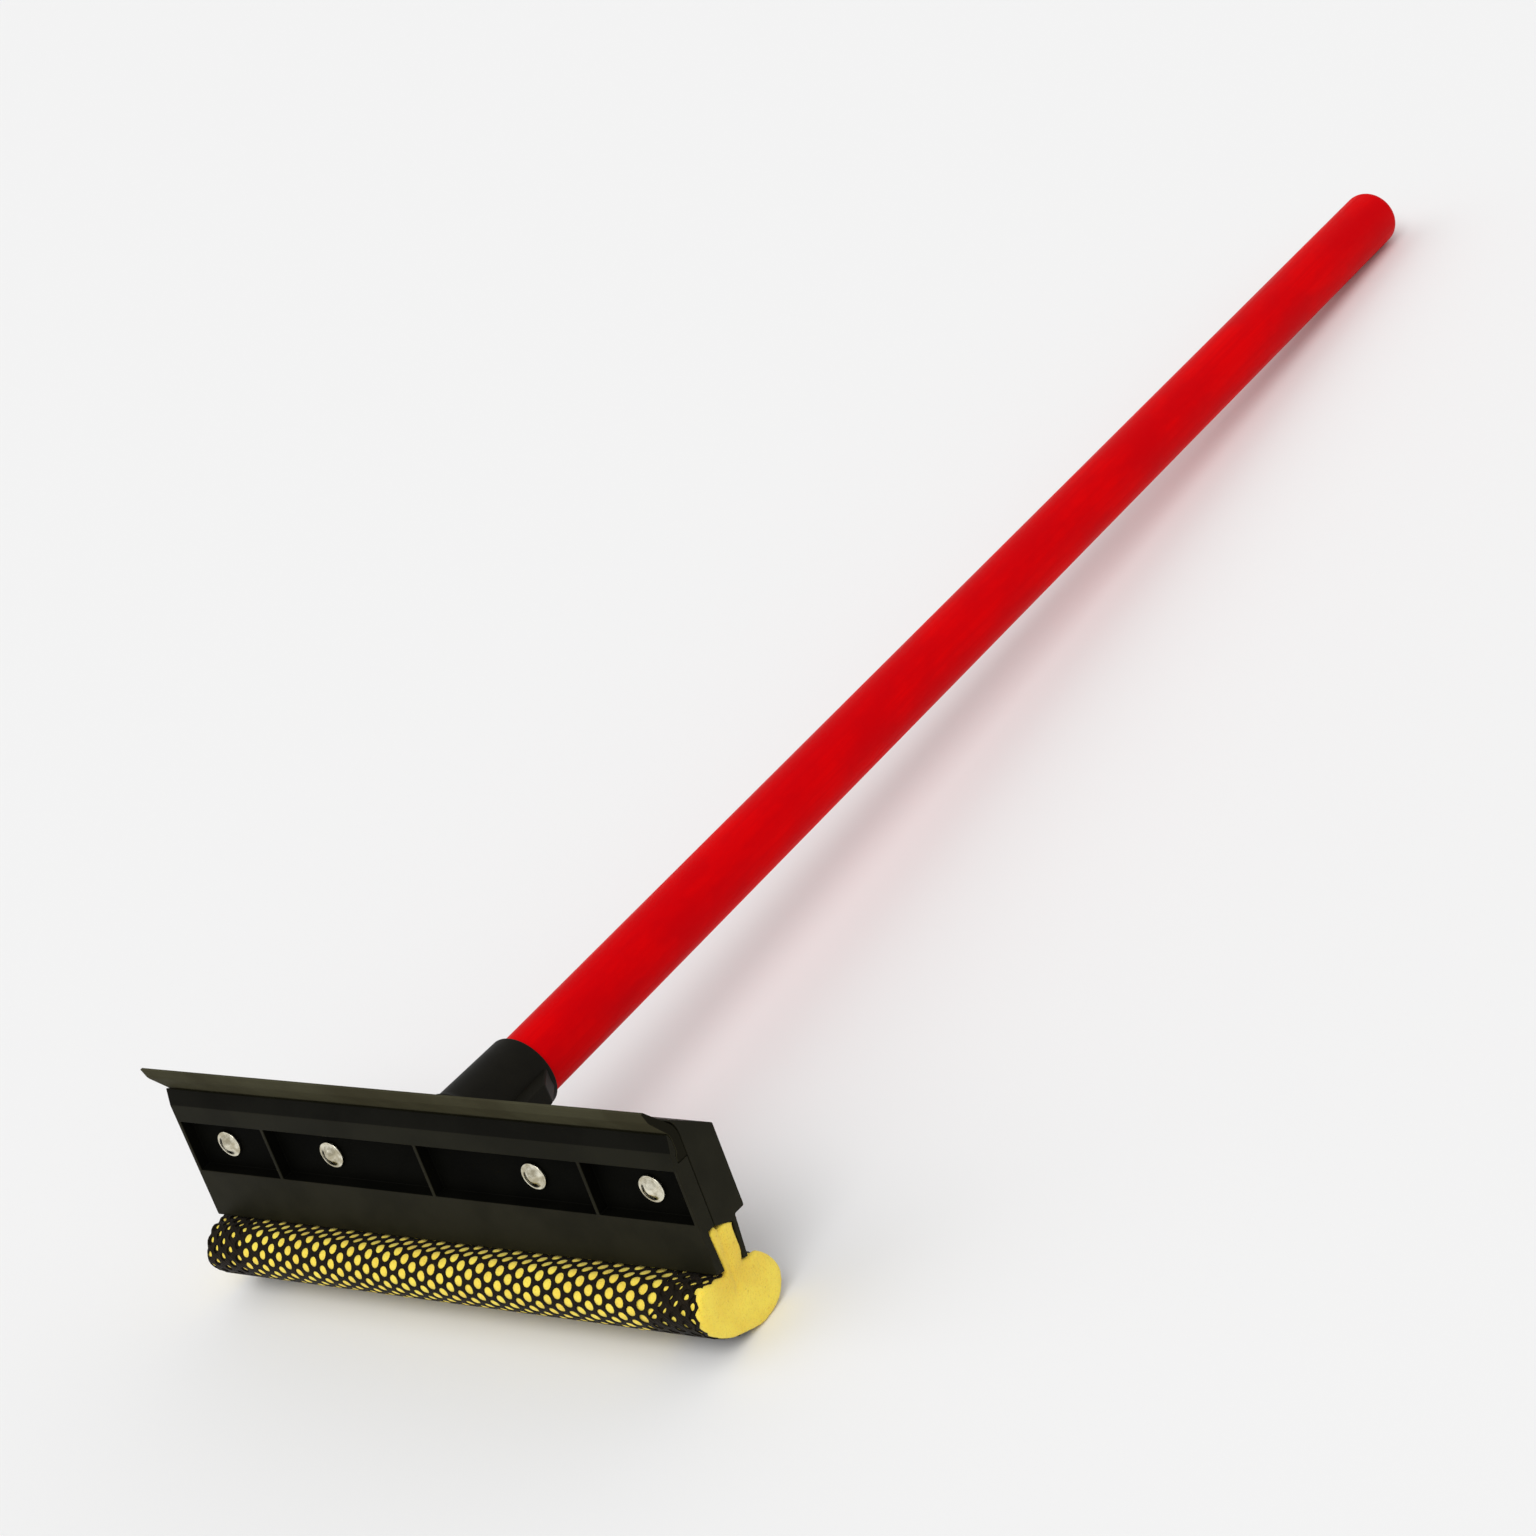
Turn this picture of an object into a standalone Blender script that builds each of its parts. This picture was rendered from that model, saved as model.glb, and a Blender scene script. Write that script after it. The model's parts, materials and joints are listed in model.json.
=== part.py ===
"""Windshield squeegee: riveted plastic head with a rubber blade and a netted sponge, on a long wood handle.

The head is drawn in its own frame: X along the head, Y the depth behind its flat front, Z up from the lower
edge of the front plate towards the blade. One empty carries that frame. It is tilted until the tool lies on
its sponge and on the tip of its handle, and is set down so that the ground is Z = 0.
"""

from math import acos, atan2, ceil, cos, degrees, hypot, pi, radians, sin, sqrt, tan

import bmesh
import bpy
from mathutils import Matrix, Vector

MM = 0.001
WELD_DISTANCE = 0.001 * MM

# Gaps between neighbours
CLEARANCE = 0.3 * MM            # between two pieces that touch

# Head as a whole
HEAD_LENGTH = 203.2 * MM        # 8 inch head
ARC_STEP = radians(15)          # longest facet of a rounded corner
CRISP_EDGE = 0.3 * MM           # radius of the moulding's inner and fine edges
SOFT_EDGE = 0.6 * MM            # radius of its outer edges
PARTING_DEPTH = 5.7 * MM        # flat inner face of the front jaw

# Front jaw: a clamp plate with an upper lip, a ribbed recess and a lower lip
PLATE_BEND_HEIGHT = 40.2 * MM   # where the upper lip starts to lean back
PLATE_BEND_RADIUS = 2.0 * MM
UPPER_LIP_RISE = 5.4 * MM       # its top, above the bend
UPPER_LIP_THICKNESS = 0.52 * MM  # at its top edge
LOWER_LIP_THICKNESS = 3.3 * MM  # at the mouth of the slot
LOWER_LIP_WAIST = 2.7 * MM      # at the top of the slot
SLOT_HEIGHT = 12.8 * MM         # top of the slot that takes the sponge's neck
RECESS_BOTTOM_WALL = 3.7 * MM   # between the slot and the recess
RECESS_TOP_WALL = 1.8 * MM      # between the recess and the blade's channel
RECESS_DEPTH = 3.8 * MM
RECESS_CORNER = 0.7 * MM
RIB_OFFSET = 0.8 * MM           # an outer rib stands this far outside the middle between its two rivets
RIB_THICKNESS = 1.2 * MM
END_WALL = 1.3 * MM

# Rear jaw: the moulded body behind the parting face
BODY_DEPTH = 18.9 * MM
BODY_BOTTOM_DROP = 2.1 * MM     # its underside, below the slot's top
BODY_TOP_DROP = 2.0 * MM        # its upper rear edge, below the plate's bend
NOSE_RISE = 3.0 * MM            # the edge that backs the blade, above the upper lip
NOSE_THICKNESS = 0.75 * MM
SLOT_WIDTH = 8.4 * MM           # between the two lips, at the mouth
SLOT_FLARE = 1.2 * MM           # the slot is this much wider at its top, behind
SLOT_ROOF_DROP = 3.1 * MM       # its roof slopes down to the rear
REAR_LIP_THICKNESS = 1.7 * MM
REAR_LIP_DROP = 2.7 * MM        # reaches this far below the front plate
CORE_WALL = 2.3 * MM            # walls left round the cored pockets
CORE_CORNER = 1.2 * MM
CORE_RIB = 1.6 * MM

# Handle and its socket
HANDLE_DIAMETER = 21.5 * MM
HANDLE_REACH = 612.0 * MM       # from the head's front plane to the tip
HANDLE_RISE = radians(2.9)
HANDLE_TIP_DOME = 6.5 * MM
HANDLE_END_CHAMFER = 1.0 * MM
HANDLE_SIDES = 48
SOCKET_REACH = 49.4 * MM        # from the front plane to the mouth
SOCKET_FLOOR = 8.1 * MM
SOCKET_WALL = 1.3 * MM          # at the mouth
SOCKET_UNDER_WALL = 1.15 * MM   # between the bore and the slot's top
SOCKET_DRAFT = 0.7 * MM         # thicker by this much at the root
SOCKET_ROOT_FLARE = 1.3 * MM
SOCKET_FLARE_STEPS = 4
SOCKET_EDGE = 0.6 * MM
WEB_THICKNESS = 7.0 * MM        # flat side webs that brace the socket
WEB_WIDTH = 5.2 * MM            # how far each stands out from the socket
WEB_TAPER = 8.1 * MM            # they slope in to the socket over this length, at its mouth
WEB_CORNER = 1.5 * MM

# Rubber blade
BLADE_THICKNESS = 3.0 * MM
BLADE_GRIP = 9.2 * MM           # its root, below the top of the upper lip
BLADE_BEND_DROP = 1.0 * MM      # its front face turns forward this far below the lip's top
BLADE_RISE = 10.8 * MM          # its tip, above the upper lip
BLADE_LEAN = radians(38)
BLADE_BEND_RADIUS = 4.0 * MM
BLADE_FACE_LENGTH = 4.0 * MM    # upright wiping face below the tip
BLADE_TIP_THICKNESS = 0.9 * MM
BEAD_HEIGHT = 2.0 * MM          # bead along the root
BEAD_DEPTH = 0.8 * MM

# Sponge and its net
LOBE_HALF_WIDTH = 17.7 * MM
LOBE_HALF_HEIGHT = 11.1 * MM
LOBE_DEPTH = 5.75 * MM          # centre of the lobe, behind the front plane
LOBE_DROP = 11.0 * MM           # centre of the lobe, below the plate's edge
LOBE_TURN = radians(18)         # its front is turned up
LOBE_SIDES = 48
NET_THICKNESS = 0.5 * MM
NET_EDGE_DROP = 4.8 * MM        # its tucked edges end this far below the slot's top
NET_END_MARGIN = 1.5 * MM       # bare sponge at each end

# Rivets, washers and the screw that holds the handle
RIVET_INNER = 41.2 * MM         # an inner rivet, from the middle of the head
RIVET_END_MARGIN = 15.6 * MM    # an outer rivet, from the end of the head
RIVET_SHANK_RADIUS = 2.0 * MM
RIVET_DOME_RADIUS = 2.9 * MM
RIVET_DOME_HEIGHT = 1.5 * MM
RIVET_HEAD_RADIUS = 4.2 * MM
RIVET_HEAD_HEIGHT = 1.4 * MM
RIVET_POST_RADIUS = 5.5 * MM
WASHER_RADIUS = 4.2 * MM
WASHER_THICKNESS = 0.7 * MM
SMALL_SIDES = 32
SCREW_REACH = 36.0 * MM         # from the front plane, along the handle
SCREW_SHANK_RADIUS = 1.3 * MM
SCREW_DEPTH = 9.0 * MM          # length inside the wood
SCREW_HEAD_RADIUS = 2.9 * MM
SCREW_HEAD_HEIGHT = 1.7 * MM
SCREW_BOSS_RADIUS = 4.0 * MM
SCREW_BOSS_HEIGHT = 0.6 * MM

# Worked out from the sizes above
HALF_LENGTH = HEAD_LENGTH / 2
UPPER_LIP_HEIGHT = PLATE_BEND_HEIGHT + UPPER_LIP_RISE
BLADE_ROOT = UPPER_LIP_HEIGHT - BLADE_GRIP
BLADE_BEND = UPPER_LIP_HEIGHT - BLADE_BEND_DROP
BLADE_TIP_HEIGHT = UPPER_LIP_HEIGHT + BLADE_RISE
BLADE_FACE_FOOT = BLADE_TIP_HEIGHT - BLADE_FACE_LENGTH
BLADE_CHANNEL = BLADE_ROOT - CLEARANCE
RECESS_BOTTOM = SLOT_HEIGHT + RECESS_BOTTOM_WALL
RECESS_TOP = BLADE_CHANNEL - RECESS_TOP_WALL
NOSE_HEIGHT = UPPER_LIP_HEIGHT + NOSE_RISE
BODY_BOTTOM = SLOT_HEIGHT - BODY_BOTTOM_DROP
BODY_TOP = PLATE_BEND_HEIGHT - BODY_TOP_DROP
BODY_FACE = PARTING_DEPTH + CLEARANCE
FABRIC_ROOM = NET_THICKNESS + 2 * CLEARANCE
HANDLE_RADIUS = HANDLE_DIAMETER / 2
BORE_RADIUS = HANDLE_RADIUS + CLEARANCE
SOCKET_RADIUS = BORE_RADIUS + SOCKET_WALL
HANDLE_AXIS_HEIGHT = SLOT_HEIGHT + SOCKET_UNDER_WALL + BORE_RADIUS
RIVET_HEIGHT = (RECESS_BOTTOM + RECESS_TOP) / 2
RIVET_OUTER = HALF_LENGTH - RIVET_END_MARGIN
RIB_PLACE = (RIVET_INNER + RIVET_OUTER) / 2 + RIB_OFFSET
RIVET_PLACES = (-RIVET_OUTER, -RIVET_INNER, RIVET_INNER, RIVET_OUTER)
WEB_SPREAD = SOCKET_RADIUS + WEB_WIDTH
SLOT_REAR_MOUTH = LOWER_LIP_THICKNESS + SLOT_WIDTH
SLOT_REAR_TOP = SLOT_REAR_MOUTH + SLOT_FLARE
REAR_LIP_BACK = SLOT_REAR_TOP + REAR_LIP_THICKNESS
LIP_SLOPE = REAR_LIP_DROP / (SLOT_REAR_MOUTH + REAR_LIP_THICKNESS)
WASHER_FRONT = RECESS_DEPTH - CLEARANCE - WASHER_THICKNESS
FACING_BACK = (-pi / 2, 0, 0)   # turns local Z to point behind the head


# ---------------------------------------------------------------- scene and materials

def clear_scene():
    """Remove every object, so that the script starts from nothing."""
    for existing in list(bpy.data.objects):
        bpy.data.objects.remove(existing, do_unlink=True)


def new_collection(name):
    """A collection linked to the scene."""
    collection = bpy.data.collections.new(name)
    bpy.context.scene.collection.children.link(collection)
    return collection


def material(name, colour, roughness, metallic=0.0):
    """A plain Principled material."""
    made = bpy.data.materials.new(name)
    made.use_nodes = True
    shader = made.node_tree.nodes["Principled BSDF"]
    shader.inputs["Base Color"].default_value = (*colour, 1.0)
    shader.inputs["Roughness"].default_value = roughness
    shader.inputs["Metallic"].default_value = metallic
    return made


# ---------------------------------------------------------------- outlines

def rounded(corners):
    """Outline through (y, z, radius) corners, each corner turned with its own radius."""
    outline = []
    for index, (y, z, radius) in enumerate(corners):
        corner = Vector((y, z))
        if radius == 0:
            outline.append(corner)
            continue
        to_last = (Vector(corners[index - 1][:2]) - corner).normalized()
        to_next = (Vector(corners[(index + 1) % len(corners)][:2]) - corner).normalized()
        half_angle = to_last.angle(to_next) / 2
        centre = corner + (to_last + to_next).normalized() * radius / sin(half_angle)
        start = corner + to_last * radius / tan(half_angle) - centre
        sweep = to_last.angle_signed(to_next)
        sweep = (pi - abs(sweep)) * (1 if sweep > 0 else -1)
        steps = max(2, ceil(abs(sweep) / ARC_STEP))
        for step in range(steps + 1):
            turned = start.copy()
            turned.rotate(Matrix.Rotation(sweep * step / steps, 2))
            outline.append(centre + turned)
    return outline


def ellipse_point(angle, grow=0.0):
    """Point of the lobe's outline, grown outwards by grow."""
    along = (LOBE_HALF_WIDTH + grow) * cos(angle)
    across = (LOBE_HALF_HEIGHT + grow) * sin(angle)
    return Vector((LOBE_DEPTH - along * cos(LOBE_TURN) + across * sin(LOBE_TURN),
                   -LOBE_DROP + along * sin(LOBE_TURN) + across * cos(LOBE_TURN)))


def under_lips(y, grow):
    """Height at which the lips press the lobe flat, at depth y."""
    return -LIP_SLOPE * y - (FABRIC_ROOM - grow) * sqrt(1 + LIP_SLOPE ** 2)


def lobe_arc(grow):
    """The round of the lobe below the lips, from its front edge under it to its rear edge."""
    slope_normal = Vector((LIP_SLOPE, 1.0))
    level = under_lips(0, grow) - slope_normal.dot(Vector((LOBE_DEPTH, -LOBE_DROP)))
    along = (LOBE_HALF_WIDTH + grow) * slope_normal.dot(Vector((-cos(LOBE_TURN), sin(LOBE_TURN))))
    across = (LOBE_HALF_HEIGHT + grow) * slope_normal.dot(Vector((sin(LOBE_TURN), cos(LOBE_TURN))))
    middle = atan2(across, along)
    half = acos(level / hypot(along, across))
    start, stop = middle - half, middle + half - 2 * pi
    return [ellipse_point(start + (stop - start) * step / LOBE_SIDES, grow) for step in range(LOBE_SIDES + 1)]


def neck_face(front, z, grow):
    """Depth of the neck's front or rear face at height z, grown outwards by grow."""
    rise = max(0.0, min(1.0, z / SLOT_HEIGHT))
    if front:
        lip = LOWER_LIP_THICKNESS + (LOWER_LIP_WAIST - LOWER_LIP_THICKNESS) * rise
        return lip + FABRIC_ROOM - grow
    lip = SLOT_REAR_MOUTH + SLOT_FLARE * rise
    return lip - FABRIC_ROOM + grow


def wrapped(grow, top):
    """Open outline down the neck's front, round the lobe and up the neck's rear, grown by grow."""
    front_foot = neck_face(True, 0, grow)
    rear_foot = neck_face(False, 0, grow)
    return [Vector((neck_face(True, top, grow), top)), Vector((front_foot, under_lips(front_foot, grow))),
            *lobe_arc(grow),
            Vector((rear_foot, under_lips(rear_foot, grow))), Vector((neck_face(False, top, grow), top))]


# ---------------------------------------------------------------- solids

def add_object(name, mesh, collection, parent=None, finish=None):
    """Put a mesh in the scene under its name."""
    made = bpy.data.objects.new(name, mesh)
    collection.objects.link(made)
    made.parent = parent
    if finish is not None:
        mesh.materials.append(finish)
    return made


def extruded(name, outline, length, collection):
    """Bar along X with the given (y, z) outline, centred on X = 0: a filled flat curve, made a mesh."""
    curve = bpy.data.curves.new(name, "CURVE")
    curve.dimensions = "2D"
    curve.fill_mode = "BOTH"
    curve.extrude = length / 2
    spline = curve.splines.new("POLY")
    spline.points.add(len(outline) - 1)
    for point, (y, z) in zip(spline.points, outline):
        point.co = (y, z, 0, 1)
    spline.use_cyclic_u = True
    guide = bpy.data.objects.new(name + "_outline", curve)
    collection.objects.link(guide)
    bpy.context.view_layer.update()
    mesh = bpy.data.meshes.new_from_object(guide.evaluated_get(bpy.context.evaluated_depsgraph_get()))
    bpy.data.objects.remove(guide, do_unlink=True)
    bpy.data.curves.remove(curve)
    mesh.materials.clear()
    mesh.transform(Matrix(((0, 0, 1, 0), (1, 0, 0, 0), (0, 1, 0, 0), (0, 0, 0, 1))))
    welded = bmesh.new()
    welded.from_mesh(mesh)
    bmesh.ops.remove_doubles(welded, verts=welded.verts, dist=WELD_DISTANCE)
    bmesh.ops.recalc_face_normals(welded, faces=welded.faces)
    welded.to_mesh(mesh)
    welded.free()
    mesh.name = name
    return mesh


def box(name, low, high, corner):
    """Block between two corners, its edges rounded with the given radius."""
    mesh = bpy.data.meshes.new(name)
    shape = bmesh.new()
    bmesh.ops.create_cube(shape, size=1.0)
    size = [b - a for a, b in zip(low, high)]
    bmesh.ops.scale(shape, vec=size, verts=shape.verts)
    bmesh.ops.translate(shape, vec=[(a + b) / 2 for a, b in zip(low, high)], verts=shape.verts)
    bmesh.ops.bevel(shape, geom=shape.edges[:], offset=corner, offset_type="OFFSET", segments=2,
                    profile=0.5, affect="EDGES", clamp_overlap=True)
    shape.to_mesh(mesh)
    shape.free()
    return mesh


def cylinder(name, radius, low, high, sides):
    """Cylinder on local Z between two heights."""
    mesh = bpy.data.meshes.new(name)
    shape = bmesh.new()
    bmesh.ops.create_cone(shape, cap_ends=True, segments=sides, radius1=radius, radius2=radius,
                          depth=high - low, matrix=Matrix.Translation((0, 0, (low + high) / 2)))
    shape.to_mesh(mesh)
    shape.free()
    return mesh


def turned(name, profile, sides, collection, parent=None, finish=None):
    """Solid of revolution about local Z. The profile runs from top to bottom, both ends on the axis."""
    mesh = bpy.data.meshes.new(name)
    line = bmesh.new()
    points = [line.verts.new((radius, 0, height)) for radius, height in profile]
    for upper, lower in zip(points, points[1:]):
        line.edges.new((upper, lower))
    line.to_mesh(mesh)
    line.free()
    made = add_object(name, mesh, collection, parent, finish)
    spin = made.modifiers.new("turn", "SCREW")
    spin.axis = "Z"
    spin.steps = sides
    spin.render_steps = sides
    spin.use_merge_vertices = True
    spin.merge_threshold = WELD_DISTANCE
    spin.use_smooth_shade = True
    return made


def dome(radius, base, height, steps=6):
    """Half of a rounded end, from its top on the axis down to its rim, as (radius, height) points."""
    return [(radius * sin(pi / 2 * step / steps), base + height * cos(pi / 2 * step / steps))
            for step in range(steps + 1)]


def guide(made):
    """Keep a shape that only cuts or joins out of the model."""
    made.hide_render = True
    made.display_type = "WIRE"
    return made


def combine(target, other, operation):
    """Join or cut the target with another shape."""
    step = target.modifiers.new(other.name, "BOOLEAN")
    step.operation = operation
    step.solver = "EXACT"
    step.object = other


def soften(made, angle=30):
    """Shade the round faces smooth and keep the edges crisp."""
    made.data.shade_smooth()
    made.data.set_sharp_from_angle(angle=radians(angle))


# ---------------------------------------------------------------- the pieces

def blade_corners():
    """The blade's outline as (y, z, radius) corners, from the foot of its rear face round its front."""
    front = PARTING_DEPTH - BLADE_THICKNESS
    rear_bend = BLADE_BEND + BLADE_THICKNESS * tan(BLADE_LEAN / 2)
    rear_tip = PARTING_DEPTH - (BLADE_TIP_HEIGHT - rear_bend) * tan(BLADE_LEAN)
    face_foot = front - (BLADE_FACE_FOOT - BLADE_BEND) * tan(BLADE_LEAN)
    bead_top = BLADE_ROOT + BEAD_HEIGHT
    return [(PARTING_DEPTH, BLADE_ROOT, 0.0),
            (front - BEAD_DEPTH, BLADE_ROOT, CRISP_EDGE),
            (front - BEAD_DEPTH, bead_top, CRISP_EDGE),
            (front, bead_top + BEAD_DEPTH, 0.0),
            (front, BLADE_BEND, BLADE_BEND_RADIUS),
            (face_foot, BLADE_FACE_FOOT, BLADE_BEND_RADIUS),
            (rear_tip - BLADE_TIP_THICKNESS, BLADE_TIP_HEIGHT, 0.0),
            (rear_tip, BLADE_TIP_HEIGHT, 0.0),
            (PARTING_DEPTH, rear_bend, BLADE_BEND_RADIUS + BLADE_THICKNESS)]


def make_blade(parts, head, rubber):
    """Moulded strip: a beaded root, a forward bend and an upright wiping face."""
    mesh = extruded("squeegee_blade", rounded(blade_corners()), HEAD_LENGTH, parts)
    blade = add_object("squeegee_blade", mesh, parts, head, rubber)
    soften(blade)


def front_jaw_corners():
    """Outline of the clamp plate, from its lower front edge round its inner side."""
    root_front = PARTING_DEPTH - BLADE_THICKNESS - CLEARANCE
    bead_top = BLADE_ROOT + BEAD_HEIGHT + CLEARANCE
    bend_start = BLADE_BEND - BLADE_BEND_RADIUS * tan(BLADE_LEAN / 2)
    rise = UPPER_LIP_HEIGHT - bend_start
    lip_inside = root_front - BLADE_BEND_RADIUS + sqrt(BLADE_BEND_RADIUS ** 2 - rise ** 2)
    return [(0, 0, SOFT_EDGE),
            (LOWER_LIP_THICKNESS, under_lips(LOWER_LIP_THICKNESS, FABRIC_ROOM), CRISP_EDGE),
            (LOWER_LIP_WAIST, SLOT_HEIGHT, CRISP_EDGE),
            (PARTING_DEPTH, SLOT_HEIGHT, CRISP_EDGE),
            (PARTING_DEPTH, BLADE_CHANNEL, 0.0),
            (root_front - BEAD_DEPTH, BLADE_CHANNEL, CRISP_EDGE),
            (root_front - BEAD_DEPTH, bead_top, CRISP_EDGE),
            (root_front, bead_top + BEAD_DEPTH, 0.0),
            (root_front, bend_start, 0.0),
            (lip_inside, UPPER_LIP_HEIGHT, 0.0),
            (lip_inside - UPPER_LIP_THICKNESS, UPPER_LIP_HEIGHT, CRISP_EDGE),
            (0, PLATE_BEND_HEIGHT, PLATE_BEND_RADIUS)]


def make_front_jaw(parts, tools, head, plastic):
    """Clamp plate with four recessed bays between its ribs, drilled for the rivets."""
    mesh = extruded("front_jaw", rounded(front_jaw_corners()), HEAD_LENGTH, parts)
    jaw = add_object("front_jaw", mesh, parts, head, plastic)
    ribs = (-RIB_PLACE, 0.0, RIB_PLACE)
    lefts = [-HALF_LENGTH + END_WALL] + [x + RIB_THICKNESS / 2 for x in ribs]
    rights = [x - RIB_THICKNESS / 2 for x in ribs] + [HALF_LENGTH - END_WALL]
    for number, (left, right) in enumerate(zip(lefts, rights), start=1):
        bay = box(f"recess_bay_{number}", (left, -RECESS_DEPTH, RECESS_BOTTOM),
                  (right, RECESS_DEPTH, RECESS_TOP), RECESS_CORNER)
        combine(jaw, guide(add_object(bay.name, bay, tools, head)), "DIFFERENCE")
    drill_for_rivets(jaw, tools, head)
    return jaw


def drill_for_rivets(jaw, tools, head):
    """Clearance holes for the rivets, right through a jaw."""
    for number, x in enumerate(RIVET_PLACES, start=1):
        name = f"{jaw.name}_rivet_hole_{number}"
        hole = cylinder(name, RIVET_SHANK_RADIUS + CLEARANCE, -HALF_LENGTH, HALF_LENGTH, SMALL_SIDES)
        drill = guide(add_object(name, hole, tools, head))
        drill.location = (x, 0, RIVET_HEIGHT)
        drill.rotation_euler = FACING_BACK
        combine(jaw, drill, "DIFFERENCE")


def rear_jaw_corners():
    """Outline of the body, from the foot of its parting face round its rear."""
    face_bend = BLADE_BEND + (BLADE_THICKNESS + CLEARANCE) * tan(BLADE_LEAN / 2)
    nose_inside = BODY_FACE - (NOSE_HEIGHT - face_bend) * tan(BLADE_LEAN)
    lip_foot = SLOT_REAR_MOUTH + REAR_LIP_THICKNESS
    return [(BODY_FACE, SLOT_HEIGHT - CLEARANCE, CRISP_EDGE),
            (SLOT_REAR_TOP, SLOT_HEIGHT - CLEARANCE - SLOT_ROOF_DROP, CRISP_EDGE),
            (SLOT_REAR_MOUTH, -LIP_SLOPE * SLOT_REAR_MOUTH, CRISP_EDGE),
            (lip_foot, -REAR_LIP_DROP, CRISP_EDGE),
            (REAR_LIP_BACK, BODY_BOTTOM, CRISP_EDGE),
            (BODY_DEPTH, BODY_BOTTOM, SOFT_EDGE),
            (BODY_DEPTH, BODY_TOP, SOFT_EDGE),
            (nose_inside + NOSE_THICKNESS, NOSE_HEIGHT, CRISP_EDGE),
            (nose_inside, NOSE_HEIGHT, 0.0),
            (BODY_FACE, face_bend, BLADE_BEND_RADIUS + BLADE_THICKNESS + CLEARANCE)]


def socket_profile():
    """Outside of the handle's socket, from its mouth down to a flared root inside the body."""
    root = SOCKET_RADIUS + SOCKET_DRAFT
    flare = root + SOCKET_ROOT_FLARE
    angles = [pi / 2 * step / SOCKET_FLARE_STEPS for step in range(SOCKET_FLARE_STEPS + 1)]
    quarter = [(flare - SOCKET_ROOT_FLARE * cos(angle), BODY_DEPTH + 2 * SOCKET_ROOT_FLARE * (1 - sin(angle)))
               for angle in angles]
    return [(0, SOCKET_REACH), (SOCKET_RADIUS - SOCKET_EDGE, SOCKET_REACH),
            (SOCKET_RADIUS, SOCKET_REACH - SOCKET_EDGE), *quarter, (flare, REAR_LIP_BACK), (0, REAR_LIP_BACK)]


def web_corners():
    """Outline of the side webs in the plane of the handle's axis, as (x, reach, radius) corners."""
    shoulder = SOCKET_REACH - 2 * SOCKET_EDGE
    inside = SOCKET_RADIUS - SOCKET_WALL / 2
    elbow = shoulder - WEB_TAPER
    return [(-WEB_SPREAD, REAR_LIP_BACK, 0.0), (WEB_SPREAD, REAR_LIP_BACK, 0.0),
            (WEB_SPREAD, elbow, WEB_CORNER), (inside, shoulder, WEB_CORNER),
            (-inside, shoulder, WEB_CORNER), (-WEB_SPREAD, elbow, WEB_CORNER)]


def core_spans():
    """Start and end in X of each cored pocket on the right half of the body."""
    walls = [SOCKET_RADIUS + SOCKET_DRAFT + SOCKET_ROOT_FLARE + CORE_WALL,
             RIVET_INNER - RIVET_POST_RADIUS, RIVET_INNER + RIVET_POST_RADIUS,
             RIB_PLACE - CORE_RIB / 2, RIB_PLACE + CORE_RIB / 2,
             RIVET_OUTER - RIVET_POST_RADIUS, RIVET_OUTER + RIVET_POST_RADIUS, HALF_LENGTH - CORE_WALL]
    return list(zip(walls[0::2], walls[1::2]))


def make_rear_jaw(parts, tools, head, handle_axis, plastic):
    """Moulded body: block, blade nose and rear lip in one outline, with the braced handle socket behind."""
    mesh = extruded("rear_jaw", rounded(rear_jaw_corners()), HEAD_LENGTH, parts)
    jaw = add_object("rear_jaw", mesh, parts, head, plastic)
    combine(jaw, guide(turned("socket_outside", socket_profile(), HANDLE_SIDES, tools, handle_axis)), "UNION")
    web = extruded("socket_webs", rounded(web_corners()), WEB_THICKNESS, tools)
    web.transform(Matrix(((0, 1, 0, 0), (1, 0, 0, 0), (0, 0, 1, 0), (0, 0, 0, 1))))
    web.flip_normals()
    combine(jaw, guide(add_object(web.name, web, tools, handle_axis)), "UNION")
    boss = cylinder("screw_boss", SCREW_BOSS_RADIUS, BORE_RADIUS + SOCKET_WALL / 2,
                    SOCKET_RADIUS + SOCKET_DRAFT + SCREW_BOSS_HEIGHT, SMALL_SIDES)
    boss_guide = guide(add_object(boss.name, boss, tools, handle_axis))
    boss_guide.location = (0, 0, SCREW_REACH)
    boss_guide.rotation_euler = FACING_BACK
    combine(jaw, boss_guide, "UNION")
    bore = cylinder("socket_bore", BORE_RADIUS, SOCKET_FLOOR, 2 * SOCKET_REACH, HANDLE_SIDES)
    combine(jaw, guide(add_object(bore.name, bore, tools, handle_axis)), "DIFFERENCE")
    for number, (start, stop) in enumerate(core_spans(), start=1):
        for side, (low, high) in (("right", (start, stop)), ("left", (-stop, -start))):
            core = box(f"core_{side}_{number}", (low, -BODY_FACE, SLOT_HEIGHT + CORE_WALL),
                       (high, BODY_DEPTH - CORE_WALL, BODY_TOP - CORE_WALL), CORE_CORNER)
            combine(jaw, guide(add_object(core.name, core, tools, head)), "DIFFERENCE")
    drill_for_rivets(jaw, tools, head)
    combine(jaw, screw_hole("jaw_screw_hole", tools, handle_axis), "DIFFERENCE")
    return jaw


def screw_hole(name, tools, handle_axis):
    """Clearance hole for the handle's screw, from outside the socket into the wood."""
    hole = cylinder(name, SCREW_SHANK_RADIUS + CLEARANCE, HANDLE_RADIUS - SCREW_DEPTH - CLEARANCE,
                    2 * SOCKET_RADIUS, SMALL_SIDES)
    drill = guide(add_object(name, hole, tools, handle_axis))
    drill.location = (0, 0, SCREW_REACH)
    drill.rotation_euler = FACING_BACK
    return drill


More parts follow.
